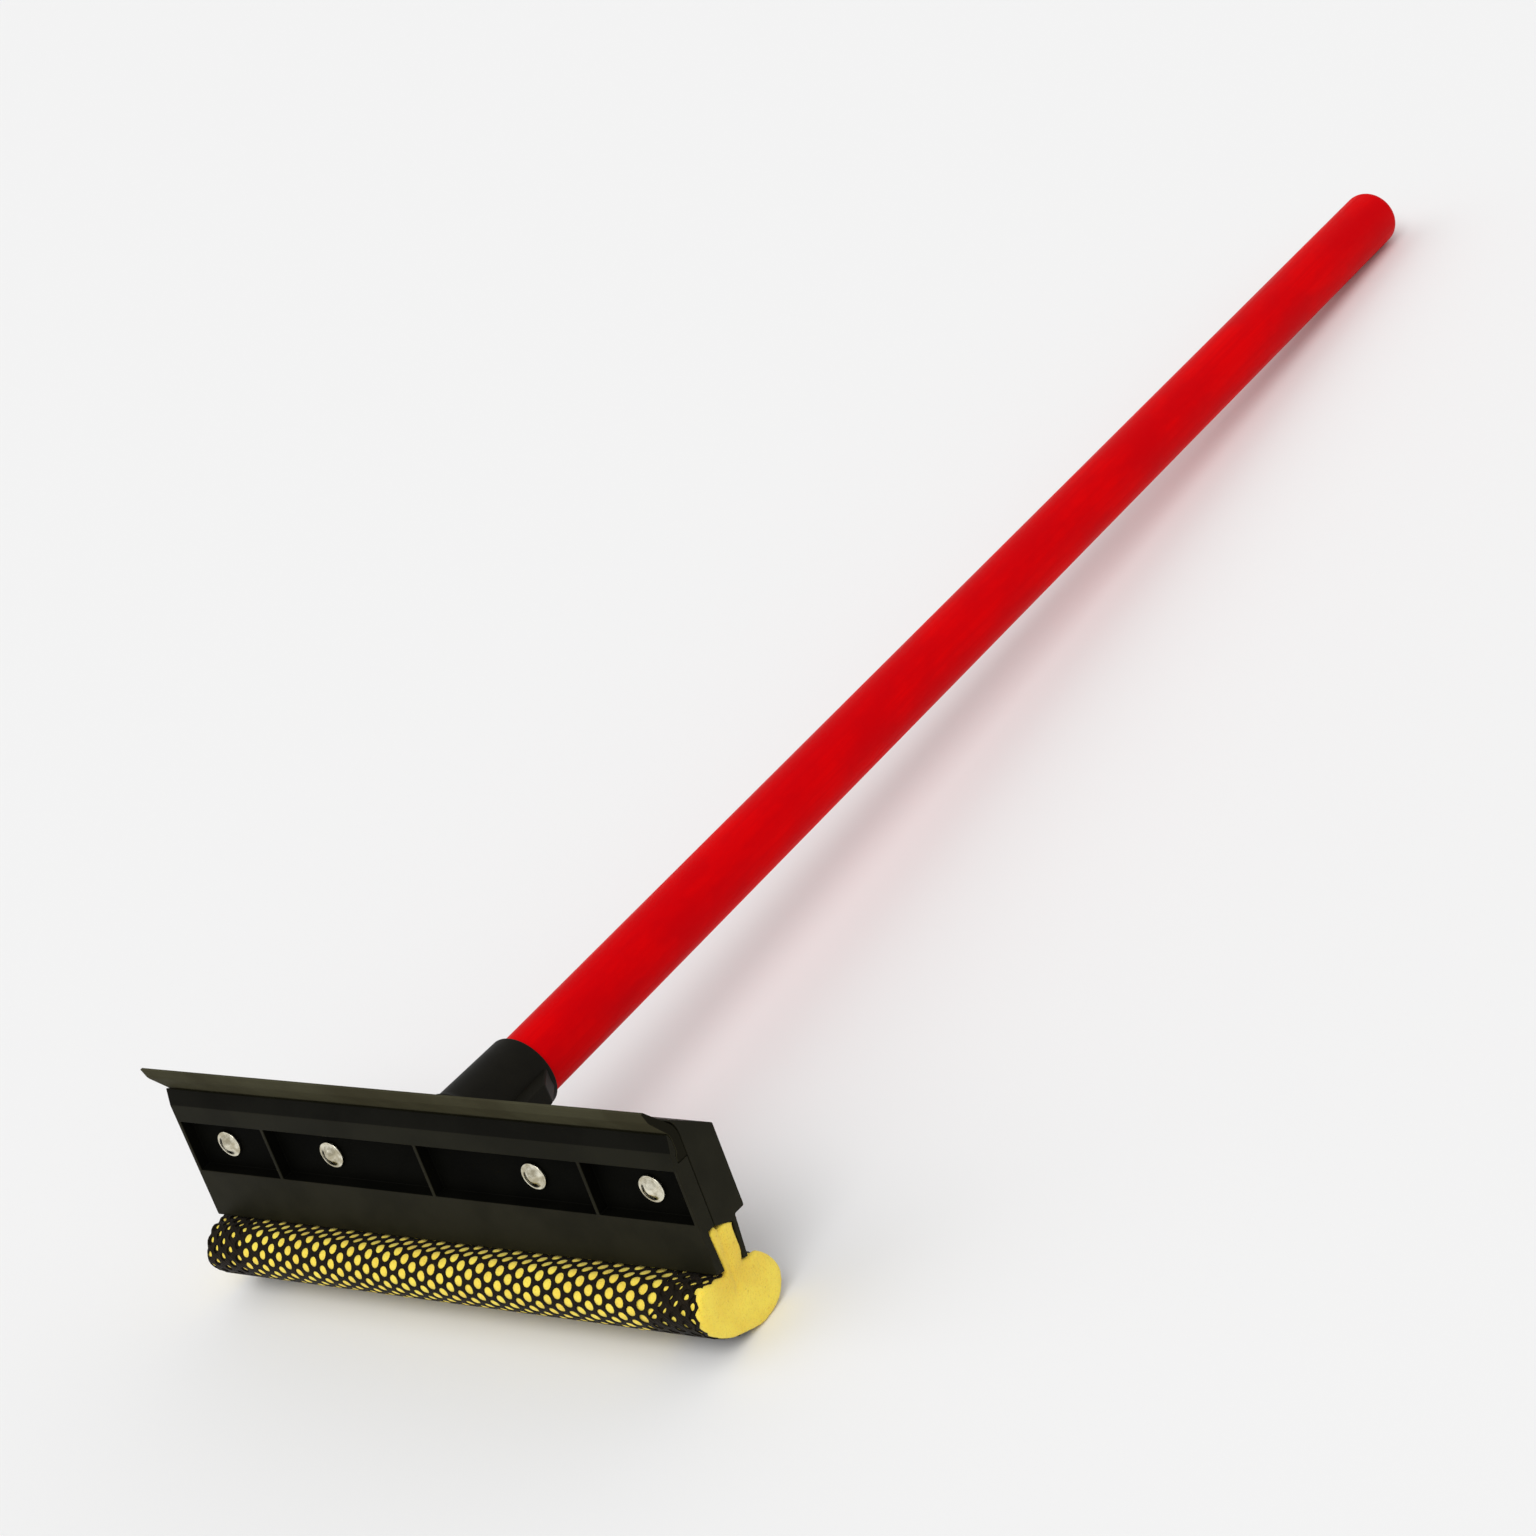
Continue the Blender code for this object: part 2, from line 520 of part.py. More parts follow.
def make_handle(parts, tools, handle_axis, paint):
    """Turned dowel with a domed tip, its inner end chamfered to enter the socket."""
    inner = SOCKET_FLOOR + CLEARANCE
    profile = dome(HANDLE_RADIUS, HANDLE_REACH - HANDLE_TIP_DOME, HANDLE_TIP_DOME, steps=8)
    profile += [(HANDLE_RADIUS, inner + HANDLE_END_CHAMFER), (HANDLE_RADIUS - HANDLE_END_CHAMFER, inner),
                (0, inner)]
    handle = turned("handle", profile, HANDLE_SIDES, parts, handle_axis, paint)
    combine(handle, screw_hole("handle_pilot_hole", tools, handle_axis), "DIFFERENCE")
    return handle


def make_handle_screw(parts, handle_axis, steel):
    """Pan head screw under the socket, its point in the wood."""
    seat = SOCKET_RADIUS + SOCKET_DRAFT + SCREW_BOSS_HEIGHT + CLEARANCE
    point = HANDLE_RADIUS - SCREW_DEPTH
    profile = dome(SCREW_HEAD_RADIUS, seat + SCREW_HEAD_HEIGHT / 3, SCREW_HEAD_HEIGHT * 2 / 3, steps=4)
    profile += [(SCREW_HEAD_RADIUS, seat), (SCREW_SHANK_RADIUS, seat),
                (SCREW_SHANK_RADIUS, point + 2 * SCREW_SHANK_RADIUS), (0, point)]
    screw = turned("handle_screw", profile, SMALL_SIDES, parts, handle_axis, steel)
    screw.location = (0, 0, SCREW_REACH)
    screw.rotation_euler = FACING_BACK
    return screw


def make_rivets(parts, head, metal):
    """Rivets and washers: one of each in every bay, the set head behind the body."""
    under_dome = WASHER_FRONT - CLEARANCE
    behind = BODY_DEPTH + CLEARANCE
    rivet_profile = dome(RIVET_HEAD_RADIUS, behind, RIVET_HEAD_HEIGHT)
    rivet_profile += [(RIVET_SHANK_RADIUS, behind), (RIVET_SHANK_RADIUS, under_dome)]
    rivet_profile += [(radius, under_dome - height) for radius, height in
                      reversed(dome(RIVET_DOME_RADIUS, 0, RIVET_DOME_HEIGHT))]
    for number, x in enumerate(RIVET_PLACES, start=1):
        rivet = turned(f"rivet_{number}", rivet_profile, SMALL_SIDES, parts, head, metal)
        rivet.location = (x, 0, RIVET_HEIGHT)
        rivet.rotation_euler = FACING_BACK
        washer_name = f"washer_{number}"
        disc = cylinder(washer_name, WASHER_RADIUS, WASHER_FRONT, RECESS_DEPTH - CLEARANCE, SMALL_SIDES)
        washer = add_object(washer_name, disc, parts, head, metal)
        washer.location = (x, 0, RIVET_HEIGHT)
        washer.rotation_euler = FACING_BACK
        combine(washer, bpy.data.objects[f"front_jaw_rivet_hole_{number}"], "DIFFERENCE")


def make_sponge(parts, head, foam):
    """One extruded sponge: the lobe, pressed flat under the lips, and the neck that fills the slot."""
    roof = SLOT_HEIGHT - 2 * CLEARANCE
    rear = neck_face(False, roof - SLOT_ROOF_DROP, 0)
    rear_roof = roof - SLOT_ROOF_DROP * (rear - BODY_FACE) / (SLOT_REAR_TOP - BODY_FACE)
    outline = wrapped(0, roof)[:-1] + [Vector((rear, rear_roof)), Vector((BODY_FACE, roof))]
    mesh = extruded("scrub_sponge", outline, HEAD_LENGTH, parts)
    sponge = add_object("scrub_sponge", mesh, parts, head, foam)
    soften(sponge)


def make_net(parts, head, yarn):
    """Sleeve of even thickness round the lobe, both edges tucked up the slot beside the neck."""
    edge = SLOT_HEIGHT - NET_EDGE_DROP
    outline = wrapped(CLEARANCE + NET_THICKNESS, edge) + list(reversed(wrapped(CLEARANCE, edge)))
    mesh = extruded("sponge_net", outline, HEAD_LENGTH - 2 * NET_END_MARGIN, parts)
    net = add_object("sponge_net", mesh, parts, head, yarn)
    soften(net)


# ---------------------------------------------------------------- standing on the ground

def lowest(centre, half_along, half_across, direction, tilt):
    """Lowest height of a tilted ellipse whose long axis points along direction, after the head tilts."""
    up = Vector((-sin(tilt), cos(tilt)))
    along = Vector((cos(direction), sin(direction)))
    across = Vector((-sin(direction), cos(direction)))
    return up.dot(centre) - hypot(half_along * up.dot(along), half_across * up.dot(across))


def resting_tilt():
    """Tilt at which the net and the handle's tip touch one level ground."""
    wrap = CLEARANCE + NET_THICKNESS
    lobe = Vector((LOBE_DEPTH, -LOBE_DROP))
    dome_reach = HANDLE_REACH - HANDLE_TIP_DOME
    tip = Vector((dome_reach * cos(HANDLE_RISE), HANDLE_AXIS_HEIGHT + dome_reach * sin(HANDLE_RISE)))
    low, high = 0.0, radians(45)
    for _ in range(50):
        tilt = (low + high) / 2
        sponge = lowest(lobe, LOBE_HALF_WIDTH + wrap, LOBE_HALF_HEIGHT + wrap, pi - LOBE_TURN, tilt)
        handle = lowest(tip, HANDLE_TIP_DOME, HANDLE_RADIUS, HANDLE_RISE, tilt)
        if handle > sponge:
            low = tilt
        else:
            high = tilt
    return tilt


def set_down(head, parts):
    """Centre the tool over the origin and stand it on Z = 0."""
    bpy.context.view_layer.update()
    graph = bpy.context.evaluated_depsgraph_get()
    corners = []
    for piece in parts.objects:
        if piece.type == "MESH":
            solid = piece.evaluated_get(graph)
            corners += [solid.matrix_world @ vertex.co for vertex in solid.data.vertices]
    lows = [min(corner[axis] for corner in corners) for axis in range(3)]
    highs = [max(corner[axis] for corner in corners) for axis in range(3)]
    head.location = (-(lows[0] + highs[0]) / 2, -(lows[1] + highs[1]) / 2, -lows[2])


def main():
    """Build every piece and stand the tool on the ground."""
    clear_scene()
    parts = new_collection("windshield_squeegee")
    tools = new_collection("cutters_and_guides")

    head = bpy.data.objects.new("head_frame", None)
    handle_axis = bpy.data.objects.new("handle_axis", None)
    for frame in (head, handle_axis):
        parts.objects.link(frame)
    handle_axis.parent = head
    handle_axis.location = (0, 0, HANDLE_AXIS_HEIGHT)
    handle_axis.rotation_euler = (HANDLE_RISE - pi / 2, 0, 0)

    plastic = material("black_plastic", (0.010, 0.010, 0.008), 0.45)
    rubber = material("blade_rubber", (0.045, 0.040, 0.028), 0.6)
    foam = material("yellow_sponge", (0.80, 0.56, 0.09), 0.95)
    yarn = material("black_net", (0.012, 0.011, 0.008), 0.7)
    paint = material("red_paint", (0.52, 0.0, 0.004), 0.35)
    zinc = material("plated_steel", (0.72, 0.72, 0.70), 0.3, metallic=1.0)

    make_blade(parts, head, rubber)
    make_front_jaw(parts, tools, head, plastic)
    make_rear_jaw(parts, tools, head, handle_axis, plastic)
    make_handle(parts, tools, handle_axis, paint)
    make_handle_screw(parts, handle_axis, zinc)
    make_rivets(parts, head, zinc)
    make_sponge(parts, head, foam)
    make_net(parts, head, yarn)

    head.rotation_euler = (-resting_tilt(), 0, 0)
    set_down(head, parts)
    print("tilt of the head", round(degrees(head.rotation_euler.x), 3), "degrees")


main()
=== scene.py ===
"""Dresses a windshield squeegee: moulded jaws, rubber blade, netted sponge, rivets and painted wood handle.

Every piece is modelled in the head's own frame, where X runs along the head, Y is the depth behind its flat
front and Z rises from the lower edge of the front plate to the blade. Head.piece then carries it to its
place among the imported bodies, so that each object stands at the origin with its place in its mesh.
"""

import json
import logging
from bisect import bisect_right
from collections.abc import Callable, Iterable, Mapping
from dataclasses import dataclass, field, replace
from enum import Enum
from math import acos, atan2, cos, hypot, pi, radians, sin, sqrt, tan

import bmesh
import bpy
from mathutils import Matrix, Vector, noise
from mathutils.kdtree import KDTree


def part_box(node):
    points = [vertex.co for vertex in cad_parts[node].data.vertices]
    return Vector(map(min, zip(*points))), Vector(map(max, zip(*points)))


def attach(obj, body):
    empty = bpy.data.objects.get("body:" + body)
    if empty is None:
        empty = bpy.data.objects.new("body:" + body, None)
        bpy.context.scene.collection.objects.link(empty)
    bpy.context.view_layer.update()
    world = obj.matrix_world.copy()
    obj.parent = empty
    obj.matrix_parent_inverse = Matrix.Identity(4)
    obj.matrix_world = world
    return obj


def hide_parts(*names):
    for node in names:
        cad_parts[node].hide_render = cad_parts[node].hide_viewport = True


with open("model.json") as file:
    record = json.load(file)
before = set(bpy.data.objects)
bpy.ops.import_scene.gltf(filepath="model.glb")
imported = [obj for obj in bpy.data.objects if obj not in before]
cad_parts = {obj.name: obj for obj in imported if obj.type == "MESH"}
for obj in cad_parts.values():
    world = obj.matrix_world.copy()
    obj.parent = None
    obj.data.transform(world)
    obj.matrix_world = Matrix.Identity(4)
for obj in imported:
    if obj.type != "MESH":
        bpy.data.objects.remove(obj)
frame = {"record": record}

MM = 0.001
WELD = 0.001 * MM
BODY = "root"
SEED = 7                                    # of the net's waver, so that it is the same on every run
FRONT = Vector((0, -1, 0))
NEUTRAL = (0.8, 0.8, 0.8)
Point = tuple[float, float]
Corner = tuple[float, float, float]         # the y, z and rounding radius of an outline's corner
Colour = tuple[float, float, float]
Shape = bmesh.types.BMesh
Socket = bpy.types.NodeSocket
Tree = bpy.types.NodeTree
log = logging.getLogger("squeegee")


# ---------------------------------------------------------------- node graphs

class Graph:
    """A shader node tree with short calls for placing and linking nodes."""

    def __init__(self, tree: Tree) -> None:
        """Wrap a material's or a group's tree."""
        self.tree = tree

    def add(self, kind: str, settings: dict[str, object] | None = None, **inputs: object) -> bpy.types.Node:
        """Place a node, set its settings and feed its inputs.

        Args:
            kind: Node type without the ShaderNode prefix.
            settings: Attributes such as operation or samples.
            inputs: Constants or sockets by the input's name, with _ for a space.

        Returns:
            The new node.
        """
        node = self.tree.nodes.new("ShaderNode" + kind)
        for name, value in (settings or {}).items():
            setattr(node, name, value)
        for name, value in inputs.items():
            self.feed(node.inputs[name.replace("_", " ")], value)
        return node

    def numbered(self, kind: str, settings: dict[str, object], values: Iterable[object],
                 places: Iterable[int] = range(5)) -> bpy.types.Node:
        """Place a node and feed its inputs by number.

        Args:
            kind: Node type without the ShaderNode prefix.
            settings: Its attributes.
            values: Constants or sockets.
            places: The number of each value's input.

        Returns:
            The new node.
        """
        node = self.add(kind, settings)
        for place, value in zip(places, values):
            self.feed(node.inputs[place], value)
        return node

    def feed(self, target: Socket, value: object) -> None:
        """Link a socket to an input, or set the input's constant.

        Args:
            target: The input.
            value: A socket, a number, a vector or a colour.
        """
        if isinstance(value, Socket):
            self.tree.links.new(value, target)
        else:
            target.default_value = (*value, 1.0) if target.type == "RGBA" else value

    def math(self, operation: str, *values: object, clamp: bool = False) -> Socket:
        """The result of one arithmetic step, held between 0 and 1 if clamped."""
        return self.numbered("Math", {"operation": operation, "use_clamp": clamp}, values).outputs[0]

    def mix(self, share: object, first: object, second: object) -> Socket:
        """The first colour, turned by a share into the second."""
        return self.numbered("Mix", {"data_type": "RGBA"}, (share, first, second), (0, 6, 7)).outputs[2]

    def remap(self, value: object, low: float, high: float, to_low: float, to_high: float) -> Socket:
        """A value mapped smoothly from one range to another, clamped at both ends."""
        ranges = (value, low, high, to_low, to_high)
        return self.numbered("MapRange", {"interpolation_type": "SMOOTHSTEP"}, ranges).outputs[0]

    def place(self, turn: Iterable[float] = (0, 0, 0), stretch: Iterable[float] = (1, 1, 1)) -> Socket:
        """Object coordinates, turned by angles and scaled on each axis for a pattern."""
        return self.add("Mapping", {"vector_type": "TEXTURE"}, Vector=self.add("TexCoord").outputs["Object"],
                        Rotation=turn, Scale=Vector(1 / part for part in stretch)).outputs[0]

    def noise(self, where: Socket, scale: object, detail: float = 2.0, rough: float = 0.5) -> Socket:
        """Fractal noise with a number of cells per metre, of octaves, and the strength of the fine ones."""
        return self.add("TexNoise", Vector=where, Scale=scale, Detail=detail, Roughness=rough).outputs[0]

    def group(self, tree: Tree, **inputs: object) -> Mapping[str, Socket]:
        """The outputs of a node group, fed by name."""
        return self.add("Group", {"node_tree": tree}, **inputs).outputs


Fill = Callable[[Graph, Mapping[str, Socket]], dict[str, Socket]]


def build_group(name: str, inputs: dict[str, Colour | float], fill: Fill) -> Tree:
    """Build a shader node group.

    Args:
        name: The group's name.
        inputs: Its inputs, each with its constant.
        fill: Places the nodes and gives the outputs.

    Returns:
        The group's tree.
    """
    tree = bpy.data.node_groups.new(name, "ShaderNodeTree")
    for label, value in inputs.items():
        coloured = isinstance(value, tuple)
        kind = "NodeSocketColor" if coloured else "NodeSocketFloat"
        socket = tree.interface.new_socket(label, in_out="INPUT", socket_type=kind)
        socket.default_value = (*value, 1.0) if coloured else value
    results = fill(Graph(tree), tree.nodes.new("NodeGroupInput").outputs)
    for label, value in results.items():
        kind = "NodeSocketColor" if value.type == "RGBA" else "NodeSocketFloat"
        tree.interface.new_socket(label, in_out="OUTPUT", socket_type=kind)
    out = tree.nodes.new("NodeGroupOutput")
    for label, value in results.items():
        tree.links.new(value, out.inputs[label])
    return tree


def shared_group(**inputs: Colour | float) -> Callable[[Fill], Callable[[], Tree]]:
    """Turn a function that places nodes into one that gives its node group, built at the first use.

    Args:
        inputs: The group's inputs, each with its constant.

    Returns:
        The decorator.
    """
    def decorate(fill: Fill) -> Callable[[], Tree]:
        """Name the group after its function."""
        return lambda: bpy.data.node_groups.get(fill.__name__) or build_group(fill.__name__, inputs, fill)
    return decorate


@shared_group(Width=0.4 * MM, Breakup=300.0)
def edge_wear(graph: Graph, given: Mapping[str, Socket]) -> dict[str, Socket]:
    """Where a convex edge is rubbed: the rounded normal against the true one, broken up by noise.

    Args:
        graph: The group's nodes.
        given: Its inputs.

    Returns:
        The Mask, from 0 to 1.
    """
    rounded = graph.add("Bevel", {"samples": 4}, Radius=given["Width"]).outputs[0]
    true = graph.add("NewGeometry").outputs["Normal"]
    facing = graph.numbered("VectorMath", {"operation": "DOT_PRODUCT"}, (rounded, true)).outputs["Value"]
    edge = graph.remap(facing, 0.985, 0.86, 0.0, 1.0)
    rubbed = graph.remap(graph.noise(graph.place(), given["Breakup"], 4.0, 0.65), 0.42, 0.68, 0.15, 1.0)
    return {"Mask": graph.math("MULTIPLY", edge, rubbed)}


@shared_group(Scale=2500.0)
def fine_grain(graph: Graph, given: Mapping[str, Socket]) -> dict[str, Socket]:
    """The tooled grain of a moulding: fine noise over a broad one.

    Args:
        graph: The group's nodes.
        given: Its inputs.

    Returns:
        The Height for a bump, and a mask that makes it Rough.
    """
    where = graph.place()
    fine = graph.noise(where, given["Scale"], 3.0, 0.6)
    broad = graph.noise(where, graph.math("MULTIPLY", given["Scale"], 0.04), 3.0, 0.55)
    return {"Height": graph.math("MULTIPLY_ADD", broad, 0.6, fine),
            "Rough": graph.math("MULTIPLY_ADD", fine, 0.5, graph.math("MULTIPLY", broad, 0.5))}


@shared_group(Colour=NEUTRAL, Amount=0.05)
def dust(graph: Graph, given: Mapping[str, Socket]) -> dict[str, Socket]:
    """Pale specks and a faint film, more on what faces up.

    Args:
        graph: The group's nodes.
        given: Its inputs.

    Returns:
        The dusted Colour.
    """
    where = graph.place()
    up = graph.add("SeparateXYZ", Vector=graph.add("NewGeometry").outputs["Normal"]).outputs["Z"]
    film = graph.remap(graph.noise(where, 60.0, 5.0, 0.7), 0.45, 0.75, 0.1, 0.7)
    specks = graph.remap(graph.noise(where, 1400.0, 2.0, 0.5), 0.66, 0.74, 0.0, 1.0)
    share = graph.math("MULTIPLY", graph.math("ADD", film, specks), graph.remap(up, -0.2, 1.0, 0.15, 1.0))
    share = graph.math("MULTIPLY", share, given["Amount"], clamp=True)
    return {"Colour": graph.mix(share, given["Colour"], (0.32, 0.29, 0.24))}


@shared_group(Light=NEUTRAL, Dark=NEUTRAL, Scale=60.0)
def mottle(graph: Graph, given: Mapping[str, Socket]) -> dict[str, Socket]:
    """Two colours, clouded together.

    Args:
        graph: The group's nodes.
        given: Its inputs.

    Returns:
        The uneven Colour.
    """
    share = graph.remap(graph.noise(graph.place(), given["Scale"], 4.0, 0.6), 0.36, 0.64, 0.0, 1.0)
    return {"Colour": graph.mix(share, given["Dark"], given["Light"])}


class Coat(Graph):
    """The nodes of a new material, with short calls for its Principled shader."""

    def __init__(self, name: str) -> None:
        """Make the material."""
        self.material = bpy.data.materials.new(name)
        self.material.use_nodes = True
        super().__init__(self.material.node_tree)

    def set(self, **inputs: object) -> None:
        """Feed the shader's inputs, by name with _ for a space."""
        for name, value in inputs.items():
            self.feed(self.tree.nodes["Principled BSDF"].inputs[name.replace("_", " ")], value)

    def bump(self, height: Socket, distance: float, strength: float = 1.0) -> None:
        """Feed a height into the shader's normal, where 1 stands for a distance in metres."""
        self.set(Normal=self.add("Bump", Height=height, Distance=distance, Strength=strength).outputs[0])


# ---------------------------------------------------------------- finishes

class Slot(Enum):
    """The record's material slots."""

    PLASTIC = "head_plastic"
    RUBBER = "blade_rubber"
    FOAM = "sponge_foam"
    YARN = "net_yarn"
    PAINT = "handle_paint"
    STEEL = "fastener_steel"


@dataclass(frozen=True)
class Finish:
    """What every finish has: its slot, two colours that cloud together, and a shine."""

    name: str
    slot: Slot
    light: Colour
    dark: Colour
    roughness: float
    specular: float = 0.5

    def material(self) -> bpy.types.Material:
        """The finish as a material, built once.

        Returns:
            The material with its nodes.
        """
        if self.name not in bpy.data.materials:
            coat = Coat(self.name)
            coat.set(Roughness=self.roughness, Specular_IOR_Level=self.specular)
            self.dress(coat)
        return bpy.data.materials[self.name]

    def dress(self, coat: Coat) -> None:
        """Lay the finish on a material."""
        raise NotImplementedError

    def clouded(self, coat: Coat, scale: float) -> Socket:
        """The finish's two colours, clouded together with a number of clouds per metre."""
        return coat.group(mottle(), Light=self.light, Dark=self.dark, Scale=scale)["Colour"]


@dataclass(frozen=True)
class Moulded(Finish):
    """Moulded plastic: tooled grain, a little dust and edges rubbed paler."""

    wear: float = 0.5
    dusting: float = 0.03
    worn: Colour = (0.05, 0.047, 0.04)
    wear_width: float = 0.35 * MM
    breakup: float = 260.0
    clouds: float = 45.0
    grain: float = 2600.0
    grain_height: float = 0.02 * MM
    unevenness: float = 0.24                # of the roughness

    def skin(self, coat: Coat, base: Socket) -> Socket:
        """Set the colour and roughness.

        Args:
            coat: The material's nodes.
            base: The colour under wear and dust.

        Returns:
            The height of the grain.
        """
        rub = coat.group(edge_wear(), Width=self.wear_width, Breakup=self.breakup)["Mask"]
        colour = coat.mix(coat.math("MULTIPLY", rub, self.wear), base, self.worn)
        grain = coat.group(fine_grain(), Scale=self.grain)
        smoothest = self.roughness - self.unevenness / 2
        coat.set(Base_Color=coat.group(dust(), Colour=colour, Amount=self.dusting)["Colour"],
                 Roughness=coat.math("MULTIPLY_ADD", grain["Rough"], self.unevenness, smoothest))
        return grain["Height"]

    def dress(self, coat: Coat) -> None:
        """Lay the finish on a material."""
        coat.bump(self.skin(coat, self.clouded(coat, self.clouds)), self.grain_height)


@dataclass(frozen=True)
class BladeRubber(Moulded):
    """Extruded rubber: fine lines along the strip under a dry bloom."""

    wear: float = 0.25
    dusting: float = 0.01
    worn: Colour = (0.08, 0.075, 0.055)
    wear_width: float = 0.3 * MM
    breakup: float = 500.0
    clouds: float = 28.0
    grain: float = 3200.0
    unevenness: float = 0.2
    drawn: tuple[float, float, float] = (6.0, 900.0, 900.0)

    def dress(self, coat: Coat) -> None:
        """Lay the finish on a material.

        Args:
            coat: The material's nodes.
        """
        base = self.clouded(coat, self.clouds)
        lines = coat.noise(coat.place(stretch=self.drawn), 1.0, 4.0, 0.6)
        height = self.skin(coat, coat.mix(coat.remap(lines, 0.35, 0.7, 0.0, 0.35), base, self.dark))
        coat.bump(coat.math("MULTIPLY_ADD", lines, 0.8, height), self.grain_height)


@dataclass(frozen=True)
class OpenFoam(Finish):
    """Open-celled foam: pores of two sizes, each with painted shade inside, painted shade round the fold,
    and softly lit through.
    """

    # painted shade round the fold: near the fold's crotch at the right end the colour turns to a darker
    # orange
    fold: tuple[float, float, float] = (0.0, 0.0, 0.0)
    folded: Colour = (0.76, 0.50, 0.050)
    fold_shade_share: float = 0.62
    fold_shade_reach: tuple[float, float] = (3 * MM, 14 * MM)
    # painted shade inside the pores: the colour that their middles darken towards
    deep: Colour = (0.56, 0.33, 0.022)
    pore: float = 620.0
    finer: float = 2.4
    pit_shade: float = 0.26
    pore_shade: float = 0.16
    pit_depth: float = 0.7
    pore_depth: float = 0.5

    def dress(self, coat: Coat) -> None:
        """Lay the finish on a material.

        Args:
            coat: The material's nodes.
        """
        where = coat.place()
        small, large = (coat.add("TexVoronoi", Vector=where, Scale=scale, Randomness=1.0).outputs["Distance"]
                        for scale in (self.pore * self.finer, self.pore))
        pits = coat.math("MULTIPLY", coat.remap(large, 0.05, 0.34, 1.0, 0.0),
                         coat.remap(coat.noise(where, self.pore * 0.7, 1.0), 0.5, 0.62, 0.0, 1.0))
        pores = coat.remap(small, 0.08, 0.5, 1.0, 0.0)
        # the pores' and pits' painted shade, mixed into the colour below
        shade = coat.math("MULTIPLY", pores, self.pore_shade)
        shade = coat.math("MULTIPLY_ADD", pits, self.pit_shade, shade, clamp=True)
        # painted shade round the fold: the colour darkens towards the fold's crotch
        away = coat.numbered("VectorMath", {"operation": "DISTANCE"}, (where, self.fold)).outputs["Value"]
        base = coat.mix(coat.remap(away, *self.fold_shade_reach, self.fold_shade_share, 0.0), self.clouded(coat, 90.0),
                        self.folded)
        depth = coat.math("MULTIPLY", pores, self.pore_depth)
        depth = coat.math("MULTIPLY_ADD", pits, self.pit_depth, depth)
        coat.bump(coat.math("SUBTRACT", 1.0, depth), 0.25 * MM, 0.6)
        coat.set(Base_Color=coat.mix(shade, base, self.deep), Subsurface_Weight=0.12,
                 Subsurface_Radius=(1.0, 0.55, 0.12), Subsurface_Scale=1.5 * MM, Sheen_Weight=0.15,
                 Sheen_Roughness=0.6)


@dataclass(frozen=True)
class NetYarn(Finish):
    """Knitted yarn: twisted filaments along each strand."""

    twist: float = 2400.0

    def dress(self, coat: Coat) -> None:
        """Lay the finish on a material.

        Args:
            coat: The material's nodes.
        """
        where = coat.place()
        ply = coat.add("TexWave", {"bands_direction": "DIAGONAL"}, Vector=where, Scale=self.twist / 6,
                       Distortion=3.0, Detail=2.0, Detail_Scale=2.0).outputs[1]
        fuzz = coat.noise(where, self.twist, 3.0, 0.7)
        colour = coat.mix(coat.remap(ply, 0.2, 0.9, 0.0, 0.6), self.clouded(coat, 400.0), self.dark)
        rough = coat.math("MULTIPLY_ADD", fuzz, 0.3, self.roughness - 0.15)
        coat.set(Base_Color=colour, Roughness=rough, Sheen_Weight=0.03, Sheen_Roughness=0.45)
        coat.bump(coat.math("MULTIPLY_ADD", fuzz, 0.5, ply), 0.06 * MM)


@dataclass(frozen=True)
class PaintedWood(Finish):
    """Dipped enamel over turned wood: the grain shows as streaks and shallow flutes."""

    turn: float = 0.0
    bare: Colour = (0.42, 0.24, 0.10)

    def dress(self, coat: Coat) -> None:
        """Lay the finish on a material.

        Args:
            coat: The material's nodes.
        """
        along, cloudy = (coat.place((self.turn, 0, 0), stretch)
                         for stretch in ((520.0, 9.0, 520.0), (60.0, 24.0, 60.0)))
        grain = coat.noise(along, 1.0, 5.0, 0.6)
        clouds = coat.remap(coat.noise(cloudy, 1.0, 4.0, 0.6), 0.36, 0.66, 0.0, 1.0)
        streaks = coat.remap(grain, 0.4, 0.68, 0.0, 0.55)
        colour = coat.mix(streaks, coat.mix(clouds, self.dark, self.light), self.dark)
        rub = coat.group(edge_wear(), Width=0.8 * MM, Breakup=420.0)["Mask"]
        rough = coat.math("MULTIPLY_ADD", grain, 0.2, self.roughness - 0.16)
        coat.set(Base_Color=coat.mix(coat.math("MULTIPLY", rub, 0.2), colour, self.bare),
                 Roughness=coat.math("MULTIPLY_ADD", clouds, 0.12, rough))
        orange_peel = coat.noise(coat.place(), 420.0, 2.0, 0.5)
        coat.bump(coat.math("MULTIPLY_ADD", orange_peel, 0.5, grain), 0.10 * MM, 0.8)


@dataclass(frozen=True)
class PlatedSteel(Finish):
    """Bright plating with fine handling scratches and a dull bloom in places."""

    def dress(self, coat: Coat) -> None:
        """Lay the finish on a material.

        Args:
            coat: The material's nodes.
        """
        scratched = coat.place((0.4, 0.9, 0.3), (5200.0, 320.0, 900.0))
        scratches = coat.noise(scratched, 1.0, 3.0, 0.6)
        bloom = coat.remap(coat.noise(coat.place(), 700.0, 3.0, 0.6), 0.42, 0.66, 0.0, 0.14)
        rough = coat.math("ADD", bloom, self.roughness - 0.06)
        coat.set(Metallic=1.0, Base_Color=self.clouded(coat, 350.0),
                 Roughness=coat.math("MULTIPLY_ADD", scratches, 0.12, rough))
        coat.bump(scratches, 0.006 * MM)


